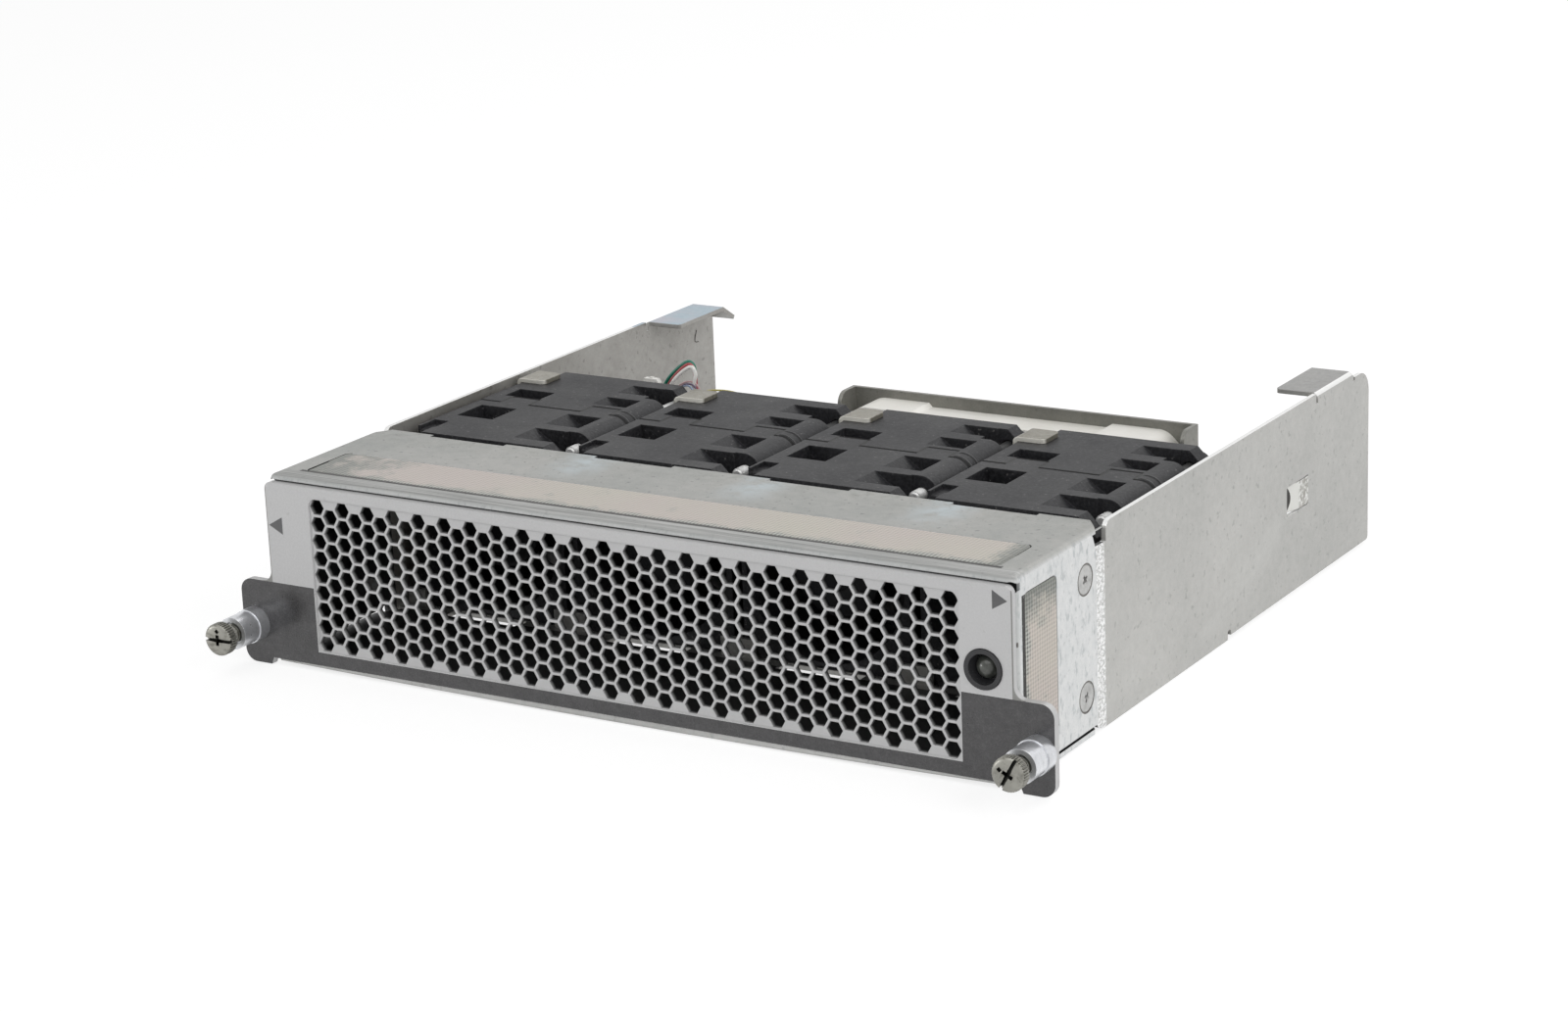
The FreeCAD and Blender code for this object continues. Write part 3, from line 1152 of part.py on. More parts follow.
def build():
    front_frame, rear_frame = fan_frames()
    front_rotor = rotor(True)
    rear_rotor = rotor(False)
    nodes = {
        "faceplate": faceplate(),
        "front_shell": front_shell(),
        "chassis_tray": chassis_tray(),
        "connector_bracket": connector_bracket(),
        "docking_connector": docking_connector(),
        "connector_contacts": connector_contacts(),
        "connector_screws": connector_screws(),
        "top_gasket": wall_gasket(True),
        "bottom_gasket": wall_gasket(False),
        "right_gasket": side_gasket(),
        "left_gasket": mirrored(side_gasket()),
        "lamp_bezel": lamp_bezel(),
        "lamp_lens": lamp_lens(),
        "side_screws": side_screws(),
        "fan_clips": Part.makeCompound([fan_clip(centre) for centre in FAN_CENTRES]),
        "clip_rivets": Part.makeCompound([rivet(x, y) for x, y in clip_rivet_places()]),
        "bracket_rivets": Part.makeCompound([rivet(x, y) for x, y in bracket_rivet_places()]),
        "fan_screws": Part.makeCompound([at_fan(fan_screw(), centre) for centre in FAN_CENTRES]),
        "plug_housing": plug_housing(),
        "green_lead": loop_lead(0),
        "red_lead": loop_lead(1),
        "white_lead": loop_lead(2),
        "sleeved_leads": Part.makeCompound([sleeved_lead(i) for i in range(1, FAN_COUNT)]),
    }
    for i, centre in enumerate(FAN_CENTRES):
        name = "fan_%d_" % (i + 1)
        nodes[name + "front_frame"] = at_fan(front_frame, centre)
        nodes[name + "rear_frame"] = at_fan(rear_frame, centre)
        nodes[name + "front_rotor"] = at_fan(front_rotor, centre)
        nodes[name + "rear_rotor"] = at_fan(rear_rotor, centre)
    for side, sign in (("left", -1), ("right", 1)):
        x = sign * THUMB_X
        nodes[side + "_screw_barrel"] = screw_barrel(x)
        nodes[side + "_retaining_ring"] = retaining_ring(x)
        nodes[side + "_screw_spring"] = spring_rings(x)
        nodes[side + "_thumbscrew"] = thumbscrew(x, SLOT_ANGLES[side])
    return nodes


def main():
    os.makedirs("parts", exist_ok=True)
    for name, shape in build().items():
        shape.translate(vec(0, -ORIGIN_Y, 0))
        shape.exportStep("parts/%s.step" % name)
        facts = (name, len(shape.Solids), shape.isValid(), shape.Volume)
        print("%-22s solids %d valid %s volume %.1f" % facts)


main()
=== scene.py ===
import bpy
import bmesh
import math
from mathutils import Matrix, Vector


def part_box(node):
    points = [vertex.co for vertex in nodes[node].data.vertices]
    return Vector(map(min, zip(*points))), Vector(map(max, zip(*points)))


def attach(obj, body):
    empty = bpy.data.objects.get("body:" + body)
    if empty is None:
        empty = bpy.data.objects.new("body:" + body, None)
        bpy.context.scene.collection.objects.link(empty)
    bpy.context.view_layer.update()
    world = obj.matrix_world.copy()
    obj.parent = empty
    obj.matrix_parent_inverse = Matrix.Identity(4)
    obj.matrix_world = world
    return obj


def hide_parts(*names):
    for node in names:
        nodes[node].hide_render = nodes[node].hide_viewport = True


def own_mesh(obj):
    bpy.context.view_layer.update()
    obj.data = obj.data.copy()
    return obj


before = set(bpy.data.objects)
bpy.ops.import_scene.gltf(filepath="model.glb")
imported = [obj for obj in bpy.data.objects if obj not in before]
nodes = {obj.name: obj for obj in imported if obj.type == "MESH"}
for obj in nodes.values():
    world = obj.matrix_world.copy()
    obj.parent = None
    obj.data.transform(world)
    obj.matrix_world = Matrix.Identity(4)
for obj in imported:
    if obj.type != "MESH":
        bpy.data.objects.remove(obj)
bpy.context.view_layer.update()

MM = 0.001
FRONT_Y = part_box("faceplate")[0].y
FAN_NAMES = ["fan_1", "fan_2", "fan_3", "fan_4"]
ENDS = ["front", "rear"]
SIDES = {"left": -1, "right": 1}

# Lengths are millimetres: x from the middle plane, y from the faceplate's front, z from the underside

# Camera: place and directions in the tray's own frame, from the fit to the photograph
IMAGE_WIDTH = 1600
SENSOR_WIDTH = 36.0
FOCAL_PIXELS = 3712.4
CAMERA_AT = (387.68, -568.36, 247.78)
CAMERA_RIGHT = Vector((0.85779, 0.51263, -0.03748))
CAMERA_FORWARD = Vector((-0.501, 0.81759, -0.28379))

# Printed areas of the faceplate and the corners (x, z) of the two arrows
PRINT_TOP = 18.5
PRINT_INNER_X = 76.9
PRINT_BAND_TOP = 4.4
WINDOW_TOP = 38.6
ARROW_RIGHT = ((83.9, 39.6), (83.9, 35.8), (87.1, 37.7))
ARROW_LEFT = ((-84.0, 33.2), (-84.0, 29.4), (-87.5, 31.2))

# Sheet metal: painted reflections on the deck, the zone (y, z) of a tab, the sleeve's inside, which is
# painted as shade, and the arms' top edge, which takes a painted highlight
DECK_REFLECTION_X = -30.0
DECK_REFLECTION_FROM = -55.0
TAB_ZONE = (140.0, 40.9)
SHELL_INNER = 87.3
SHELL_TOP_INNER = 40.9
ARM_HIGHLIGHT_X = 86.45
SLEEVE_END = 40.0

# Small marks: a dark disc of painted shade for a dent (y, z) in the right flange and a bent scratch (y, z)
# inside the left arm
FLANGE_PIP = (2.2, 28.6)
ARM_HOOK = ((167.3, 35.0), (166.2, 32.9), (166.6, 32.0), (167.9, 32.0))
SCRATCH_R = 0.14

# Latch windows of the arms: corners (y, z), the crescent of painted shadow at their front and the start of
# the torn edge
LATCH_ZONE = ((129.0, 18.5), (140.6, 24.8))
LATCH_SHADE = 1.8
LATCH_SHADE_FRONT = 130.9
LATCH_TORN = (135.4, 136.2)

# Fans: pitch, joint line between their two frames with its lugs, post with its rings and tie screw
FAN_PITCH = 42.5
FAN_FIRST_X = -63.75
FAN_SEAM_Y = 72.4
FAN_LUG_X = (7.0, 14.5)
FAN_LUG_REACH = 4.8
SEAM_HALF = 0.45
POST_OFFSET = 16.0
POST_R = 4.0
POST_RINGS = (0.9, 3.6)
POST_RING_RADII = (0.16, 0.2)
RING_LINE = 3.2
TIE_START = 10.1
TIE_TIP_LENGTH = 6.0

# Lamp dome: radius, distance behind the face and radius of its foot
DOME_R = 2.55
DOME_TIP = 0.25
DOME_FOOT_R = 1.5

# Gasket cloth: pitches of the weave, corner radius, sag and worn lengths at both ends
RIB_PITCH = 0.85
THREAD_PITCH = 1.0
GASKET_CORNER = 1.2
GASKET_SAG = 0.16
GASKET_RIPPLE = 0.02
WORN_LONG = (22.0, 6.0)
WORN_SIDE = (1.5, 10.0)

# Rotor: hub, blades and the twist of a blade from root to tip
HUB_R = 10.5
HUB_LENGTH = 18.4
BLADE_TIP_R = 18.3
BLADES = 5
BLADE_HALF_CHORD = 7.8
BLADE_SWEEP = (3.2, 6.4)
BLADE_CAMBER = 1.1
BLADE_HALF_THICKNESS = 0.62

# Thumbscrew: head with (distance, inset) steps, neck with (distance, radius) steps, thread, recesses and the
# radius of the painted shade in them
HEAD_LENGTH = 2.7
HEAD_STEPS = ((0.0, 0.75), (0.12, 0.35), (0.3, 0.12), (0.45, 0.0), (HEAD_LENGTH - 0.4, 0.0),
              (HEAD_LENGTH - 0.15, 0.25), (HEAD_LENGTH, 0.5))
NECK_R = 2.1
GROOVE_R = 1.75
SHANK_R = 1.3
NECK_STEPS = ((HEAD_LENGTH, NECK_R), (3.2, NECK_R), (3.3, GROOVE_R), (3.7, GROOVE_R), (3.8, NECK_R),
              (4.2, NECK_R), (4.3, GROOVE_R), (4.7, GROOVE_R), (4.8, NECK_R), (5.85, NECK_R), (5.9, SHANK_R))
THREAD_R = 1.5
THREAD_ROOT = 1.28
KNURL_TEETH = 38
KNURL_DEPTH = 0.34
SLOT_WIDTH = 0.72
SLOT_DEPTH = 1.1
SLOT_ANGLES = {"left": 0.0, "right": 62.0}
CROSS_HALF = 1.5
CROSS_ARM = 0.42
CROSS_DEPTH = 1.4
DIMPLE_OUT = 1.9
DIMPLE_DEPTH = 0.5
THUMB_X = 93.2
THUMB_Z = 8.7
RECESS_SHADE_R = 3.05

# Spring of a thumbscrew: wire radius, inset of the coil's middle, turns and the steps along its wire
SPRING_WIRE_R = 0.21
SPRING_INSET = 0.23
SPRING_TURNS = 5.5
SPRING_STEPS = 220

# Side screws: head radius, cross (half length, half width, depth) and the ring of painted shadow round the
# head
FLATHEAD_R = 3.0
SIDE_CROSS = (1.35, 0.34, 1.0)
FLATHEAD_STEPS = ((0.0, 0.2), (0.0, FLATHEAD_R - 0.2), (0.12, FLATHEAD_R - 0.02), (1.5, 1.52), (3.6, 1.45))
FLATHEAD_SHADE_RING = ((0.2, FLATHEAD_R + 0.32), (-0.01, FLATHEAD_R + 0.3), (-0.01, FLATHEAD_R),
                (0.2, FLATHEAD_R - 0.02))

# Folded edge of the bottom sheet below the faceplate: ends, height, lowest point and rise towards the ends
HEM_HALF = 87.4
HEM_TOP = 1.45
HEM_LOW = 0.1
HEM_RISE = 0.9
HEM_STEPS = 24

# Plug and leads: radii, the connector's front and its contacts
PLUG_RIGHT = -57.5
PLUG_WIDTH = 4.6
PLUG_Y = 106.0
LOOP_R = 0.45
LOOP_PITCH = 1.6
THIN_R = 0.22
SLEEVE_R = 1.4
SLEEVE_Z = 6.8
CONNECTOR_FRONT = 163.0
CONTACT_Z = 11.5
CONTACT_PITCH = 7.6
LOOP_COLOURS = {"green": (0.01, 0.16, 0.105), "red": (0.34, 0.038, 0.043), "white": (0.76, 0.75, 0.72)}
# Places (x, z) each loop bends at: rise past the plug, crest, fall and drop
LOOP_BENDS = {
    "green": ((-58.2, 38.4), (-51.3, 44.9), (-49.0, 44.3), (-48.9, 41.0)),
    "red": ((-56.4, 38.2), (-50.0, 44.9), (-48.0, 43.8), (-47.8, 41.0)),
    "white": ((-55.1, 38.7), (-48.0, 45.2), (-46.5, 43.0), (-47.4, 40.6)),
}
# Colour and places of the thin leads; both ends lie inside a fan frame or in the gap between two
THIN_LEADS = {
    "pink": ((0.46, 0.3, 0.31), (
        (-52.0, 99.4, 37.2), (-52.4, 102.6, 37.4), (-51.8, 104.2, 39.4), (-48.8, 104.4, 41.2),
        (-46.2, 104.4, 40.5), (-45.0, 104.0, 37.6), (-43.6, 101.6, 34.0), (-42.5, 97.0, 32.0))),
    "violet": ((0.1, 0.07, 0.12), (
        (-51.4, 99.4, 37.2), (-51.8, 102.0, 37.4), (-51.0, 103.4, 39.2), (-48.6, 103.6, 40.8),
        (-46.4, 103.6, 40.3), (-45.2, 103.2, 37.6), (-43.8, 101.4, 34.4), (-42.5, 97.0, 32.6))),
    "blue": ((0.24, 0.29, 0.4), (
        (-50.8, 99.4, 37.2), (-51.0, 101.8, 37.6), (-50.0, 102.7, 39.4), (-48.2, 102.7, 40.7),
        (-46.6, 102.7, 39.9), (-45.2, 102.6, 37.8), (-44.0, 101.4, 35.0), (-42.5, 97.0, 33.2))),
    "yellow": ((0.42, 0.37, 0.1), (
        (-42.5, 97.0, 35.0), (-43.6, 101.4, 36.4), (-44.6, 101.7, 39.4), (-41.0, 101.7, 40.4),
        (-35.5, 101.7, 40.7), (-31.6, 101.9, 39.6), (-32.6, 101.6, 36.6), (-36.2, 99.4, 36.0))),
}

# Studio: half width of the floor and the lamps as name, place in metres, size and power
FLOOR_HALF = 3.0
LAMPS = (
    ("key", (0.1, -0.95, 1.05), (1.1, 0.9), 4.4),
    ("low_left", (-2.1, -1.6, 0.12), (0.3, 0.16), 8.0),
    ("right_fill", (1.2, -0.3, 0.7), (0.9, 0.9), 7.0),
    ("rear_top", (0.2, 0.9, 1.1), (1.2, 0.7), 3.2),
)
WHITE = (1.0, 1.0, 1.0, 1.0)


def at(x, y, z):
    """Point in metres from millimetres measured off the faceplate's front face."""
    return Vector((x * MM, y * MM + FRONT_Y, z * MM))


def box_mm(node):
    """Lower and upper corner of a node's box, in the millimetres that at() takes."""
    return [Vector((p.x, p.y - FRONT_Y, p.z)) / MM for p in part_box(node)]


def middle_of(node):
    """Middle of a node's box across and up."""
    low, high = box_mm(node)
    return (low.x + high.x) / 2, (low.z + high.z) / 2


def circle(count):
    """Angles of equal steps round a circle."""
    return [2 * math.pi * k / count for k in range(count)]


def add_node(tree, kind, inputs=None, **settings):
    """New node; an input is linked where its value is a socket and set otherwise."""
    made = tree.nodes.new(kind)
    for key, value in settings.items():
        setattr(made, key, value)
    for key, value in (inputs or {}).items():
        if isinstance(value, bpy.types.NodeSocket):
            tree.links.new(value, made.inputs[key])
        else:
            made.inputs[key].default_value = value
    return made


class Shader:
    """A Principled material whose nodes are added one by one."""

    def __init__(self, name, colour, roughness, metallic=0.0):
        self.material = bpy.data.materials.new(name)
        self.material.use_nodes = True
        self.tree = self.material.node_tree
        self.bsdf = self.tree.nodes["Principled BSDF"]
        self.set("Base Color", (*colour, 1.0))
        self.set("Roughness", roughness)
        self.set("Metallic", metallic)
        coordinates = self.node("ShaderNodeTexCoord").outputs
        self.place = coordinates["Object"]
        self.facing = coordinates["Normal"]

    def node(self, kind, inputs=None, **settings):
        return add_node(self.tree, kind, inputs, **settings)

    def set(self, socket, value):
        if isinstance(value, bpy.types.NodeSocket):
            self.tree.links.new(value, self.bsdf.inputs[socket])
        else:
            self.bsdf.inputs[socket].default_value = value

    def stretched(self, scale):
        """Coordinates stretched by a factor along each axis."""
        return self.node("ShaderNodeMapping", {"Vector": self.place, "Scale": scale}).outputs["Vector"]

    def split(self, vector):
        parts = self.node("ShaderNodeSeparateXYZ", {"Vector": vector}).outputs
        return parts["X"], parts["Y"], parts["Z"]

    def axes(self):
        """Place on the surface in the millimetres that at() takes."""
        in_mm = self.node("ShaderNodeMapping", {
            "Vector": self.place, "Location": (0.0, -FRONT_Y / MM, 0.0), "Scale": [1.0 / MM] * 3})
        return self.split(in_mm.outputs["Vector"])

    def noise(self, scale, detail=4.0, roughness=0.55, place=None, distortion=0.0):
        return self.node("ShaderNodeTexNoise", {
            "Vector": place or self.place, "Scale": scale, "Detail": detail,
            "Roughness": roughness, "Distortion": distortion}).outputs["Fac"]

    def math(self, operation, a, b=0.0, c=0.0):
        return self.node("ShaderNodeMath", {0: a, 1: b, 2: c}, operation=operation).outputs[0]

    def spread(self, value, low, high, to_low=0.0, to_high=1.0):
        """Value mapped from one range to another and kept inside it."""
        return self.node("ShaderNodeMapRange", {
            "Value": value, "From Min": low, "From Max": high,
            "To Min": to_low, "To Max": to_high}).outputs["Result"]

    def mix(self, share, a, b):
        made = self.node("ShaderNodeMix", data_type="RGBA")
        colour_sockets = [s for s in made.inputs if s.type == "RGBA"]
        for socket, value in ((made.inputs[0], share), (colour_sockets[0], a), (colour_sockets[1], b)):
            if isinstance(value, bpy.types.NodeSocket):
                self.tree.links.new(value, socket)
            else:
                socket.default_value = (*value, 1.0)
        return [s for s in made.outputs if s.type == "RGBA"][0]

    def fade(self, value, low, high, a, b, most=1.0):
        """Colour a that turns into b, up to a share, as value goes from low to high."""
        return self.mix(self.spread(value, low, high, 0.0, most), a, b)

    def above(self, value, limit):
        return self.math("GREATER_THAN", value, limit)

    def below(self, value, limit):
        return self.math("LESS_THAN", value, limit)

    def either(self, a, b):
        return self.math("MAXIMUM", a, b)

    def all_of(self, *values):
        """Product of masks or shares."""
        result = values[0]
        for value in values[1:]:
            result = self.math("MULTIPLY", result, value)
        return result

    def within(self, value, low, high):
        return self.all_of(self.above(value, low), self.below(value, high))

    def near(self, value, middle, half):
        """1 where value lies within half of middle."""
        return self.math("COMPARE", value, middle, half)

    def outward(self, x):
        """How far the face looks away from the middle plane."""
        return self.all_of(self.split(self.facing)[0], self.math("SIGN", x))

    def forward(self):
        """How far the face looks to the front."""
        return self.all_of(self.split(self.facing)[1], -1.0)

    def repeated(self, value, first, pitch):
        """Distance from the nearest of the places first, first + pitch and so on."""
        moved = self.math("SUBTRACT", value, first - pitch / 2)
        return self.math("SUBTRACT", self.math("WRAP", moved, pitch, 0.0), pitch / 2)

    def rounded(self, radius):
        """Normal over edges rounded to a small radius."""
        return self.node("ShaderNodeBevel", {"Radius": radius}, samples=4).outputs["Normal"]

    def relief(self, height, strength, distance, edge=0.0):
        """Bump from a height value, over edges rounded to a small radius; both lengths in metres."""
        inputs = {"Height": height, "Strength": strength, "Distance": distance}
        if edge:
            inputs["Normal"] = self.rounded(edge)
        self.set("Normal", self.node("ShaderNodeBump", inputs).outputs["Normal"])


def mottled(s, dark, light, speck=0.3, peel=0.3):
    """Colour of rolled sheet: cloudy patches, orange peel, fine grain and sparse dark specks."""
    cloud = s.spread(s.noise(30.0, 4.0, 0.6), 0.35, 0.65, 0.0, 0.75 - peel)
    coarse = s.spread(s.noise(420.0, 3.0, 0.65), 0.3, 0.7, 0.0, peel)
    fine = s.spread(s.noise(2600.0, 2.0, 0.6), 0.3, 0.7, 0.0, 0.25)
    tone = s.mix(s.math("ADD", s.math("ADD", cloud, coarse), fine), dark, light)
    dots = s.spread(s.noise(760.0, 1.0, 0.5), 0.66, 0.74, 0.0, speck)
    return s.mix(dots, tone, tuple(0.5 * v for v in dark))


def grain_relief(s, roughness=None):
    """Orange peel over rounded edges; the roughness follows it where one is given."""
    peel = s.noise(900.0, 3.0, 0.65)
    if roughness:
        s.set("Roughness", s.spread(peel, 0.3, 0.7, roughness - 0.07, roughness + 0.09))
    s.relief(peel, 0.14, 0.00008, 0.00025)


def shell_sheet():
    """Bright zinc flanges with small bluish specks, a stained deck whose darker tone on upward faces is
    partly painted shade, a brushed front bend darkened by painted shade, a painted reflection on the deck's
    rear and painted shadow in the gasket gaps and inside the sleeve.
    """
    s = Shader("shell_sheet", (0.6, 0.6, 0.6), 0.42, 0.5)
    x, y, z = s.axes()
    side = s.math("ABSOLUTE", x)
    across, _, up = s.split(s.facing)
    deck = mottled(s, (0.245, 0.258, 0.247), (0.405, 0.398, 0.38), 0.6)
    # Painted reflection: bluish patches of light from the gaps between the fans, on the rear of the deck
    glow = s.all_of(
        s.spread(s.math("ABSOLUTE", s.repeated(x, DECK_REFLECTION_X, FAN_PITCH)), 0.5, 8, 0.85, 0.0),
        s.spread(y, 22, 32), s.spread(s.noise(220.0), 0.3, 0.55), s.above(x, DECK_REFLECTION_FROM))
    deck = s.mix(glow, deck, (0.45, 0.505, 0.53))
    grime = s.all_of(s.spread(y, 28, 41), s.spread(s.noise(330.0, 6.0, 0.75), 0.48, 0.7), 0.55)
    deck = s.mix(grime, deck, (0.17, 0.175, 0.14))
    brushed = s.noise(1500.0, 2.0, 0.6, s.stretched((0.02, 1.0, 1.0)))
    lines = s.fade(brushed, 0.38, 0.62, (0.235, 0.24, 0.235), (0.5, 0.5, 0.495))
    deck = s.fade(y, 7, 5, deck, lines, 0.65)
    flange = mottled(s, (0.54, 0.56, 0.565), (0.74, 0.74, 0.735), 0.25, 0.45)
    specks = s.noise(760.0, 3.0, 0.6, s.stretched((1.0, 1.0, 0.45)))
    flange = s.fade(specks, 0.54, 0.68, flange, (0.33, 0.36, 0.37), 0.6)
    # Darker towards the front bend: painted shade that dims the bend's highlight
    flange = s.fade(y, 3.4, 2.4, flange, (0.36, 0.37, 0.36), 0.5)
    # Side faces take the bright flange tone and upward faces the darker deck tone: partly painted shade by
    # face direction
    tone = s.fade(up, 0.35, 0.85, flange, deck)
    # Painted shadow in the gaps in front of the top gasket and of those at the sides
    low, high = box_mm("top_gasket")
    gap_shadow = s.all_of(s.within(y, low.y - 0.85, low.y + 0.2), s.below(side, high.x + 1.2), s.above(up, 0.5))
    low, high = box_mm("right_gasket")
    side_gap_shadow = s.all_of(s.within(y, low.y - 1.1, low.y + 0.3), s.within(z, low.z, high.z),
                         s.above(s.math("ABSOLUTE", across), 0.5))
    ragged = s.spread(s.noise(1300.0, 2.0, 0.6), 0.3, 0.42, 0.8, 1.0)
    tone = s.mix(s.all_of(s.either(gap_shadow, side_gap_shadow), ragged), tone, (0.02, 0.019, 0.017))
    # The sleeve's inside is painted as shade: its inner walls, the faces that look inwards and the low upward
    # faces
    inside = s.all_of(s.within(z, 1.0, SHELL_TOP_INNER), s.below(side, SHELL_INNER))
    shaded_floor = s.all_of(s.above(up, 0.2), s.below(z, 8))
    inside = s.either(inside, s.either(s.below(s.outward(x), -0.2), shaded_floor))
    s.set("Base Color", s.mix(inside, tone, (0.03, 0.03, 0.03)))
    grain_relief(s)
    s.set("Roughness", s.spread(y, 3.6, 5.0, 0.75, 0.44))
    s.set("Metallic", s.spread(y, 3.6, 5.0, 0.05, 0.5))
    return s.material


def tray_sheet():
    """Satin arms, darker and browner on their inner faces towards the fans, partly as painted shade, with
    upward faces painted darker as shade, a painted highlight along the arms' top edges, painted shade inside
    the sleeve, a painted shadow in the latch windows, a bluish left tab and a frosted front edge.
    """
    s = Shader("tray_sheet", (0.5, 0.5, 0.48), 0.42, 0.5)
    x, y, z = s.axes()
    side = s.math("ABSOLUTE", x)
    up = s.split(s.facing)[2]
    outward = s.outward(x)
    outer = mottled(s, (0.385, 0.385, 0.37), (0.515, 0.51, 0.49), 0.4)
    smear = s.noise(26.0, 5.0, 0.55, s.stretched((1.0, 0.5, 1.6)), 1.2)
    outer = s.fade(smear, 0.56, 0.72, outer, (0.57, 0.57, 0.55), 0.35)
    frosted = s.fade(s.noise(1500.0, 4.0, 0.8), 0.44, 0.56, (0.5, 0.5, 0.49), (0.9, 0.9, 0.9))
    outer = s.fade(y, SLEEVE_END + 0.3, SLEEVE_END - 0.3, outer, frosted)
    # Inner faces: darker and browner than the outer ones, partly painted shade
    inner = mottled(s, (0.28, 0.27, 0.25), (0.42, 0.41, 0.39), 0.45, 0.4)
    inner = s.fade(s.noise(24.0, 3.0, 0.5), 0.5, 0.68, inner, (0.2, 0.19, 0.165), 0.55)
    tone = s.fade(outward, -0.5, 0.2, inner, outer)
    # Upward faces, such as the tops of the tabs, painted darker as shade
    tone = s.fade(up, 0.5, 0.9, tone, mottled(s, (0.235, 0.235, 0.23), (0.335, 0.33, 0.32)))
    # Painted highlight along the top edges of the arms
    rim = s.all_of(s.above(up, 0.5), s.above(z, 12), s.above(side, ARM_HIGHLIGHT_X))
    tone = s.mix(rim, tone, (0.8, 0.8, 0.79))
    # Painted shade on the parts of the arms and floor inside the sleeve
    sleeved_shade = s.all_of(s.below(y, SLEEVE_END), s.below(side, SHELL_INNER), s.below(outward, 0.3))
    tone = s.mix(sleeved_shade, tone, (0.035, 0.035, 0.035))
    # Latch windows: a crescent of painted shadow in front, then bright metal, partly painted light on the
    # slanted tongue, with a torn rear part
    (y0, z0), (y1, z1) = LATCH_ZONE
    height = s.math("DIVIDE", s.math("SUBTRACT", z, (z0 + z1) / 2), (z1 - z0) / 2)
    bow = s.math("MULTIPLY_ADD", s.all_of(height, height), -LATCH_SHADE, LATCH_SHADE_FRONT + LATCH_SHADE)
    latch = s.all_of(s.within(y, y0, y1), s.within(z, z0, z1), s.above(outward, 0.3))
    torn = s.fade(s.noise(1100.0, 3.0, 0.7), 0.42, 0.6, (0.3, 0.29, 0.26), (0.74, 0.74, 0.72))
    bright = s.fade(y, *LATCH_TORN, (0.67, 0.67, 0.64), torn)
    bright = s.mix(s.below(y, bow), bright, (0.035, 0.033, 0.03))
    tone = s.mix(latch, tone, bright)
    blue = s.all_of(s.above(up, 0.6), s.above(z, TAB_ZONE[1]), s.below(x, 0.0), s.above(y, TAB_ZONE[0]))
    stain = s.fade(s.noise(110.0, 4.0, 0.6), 0.4, 0.62, (0.36, 0.45, 0.51), (0.44, 0.45, 0.5))
    s.set("Base Color", s.mix(blue, tone, stain))
    grain_relief(s, 0.4)
    return s.material


def plain_sheet(name, dark, light, roughness, metallic):
    s = Shader(name, light, roughness, metallic)
    s.set("Base Color", mottled(s, dark, light))
    grain_relief(s, roughness)
    return s.material


def clip_sheet():
    """Brownish clips with a painted highlight on the faces that look to the front."""
    s = Shader("clip_metal", (0.5, 0.48, 0.43), 0.36, 0.6)
    smear = s.noise(150.0, 4.0, 0.6)
    tone = mottled(s, (0.17, 0.158, 0.125), (0.33, 0.315, 0.27), 0.3)
    tone = s.fade(smear, 0.5, 0.68, tone, (0.12, 0.108, 0.08), 0.6)
    # Faces that look to the front take a painted highlight
    s.set("Base Color", s.fade(s.forward(), 0.3, 0.7, tone, (0.82, 0.8, 0.73)))
    grain_relief(s, 0.36)
    return s.material


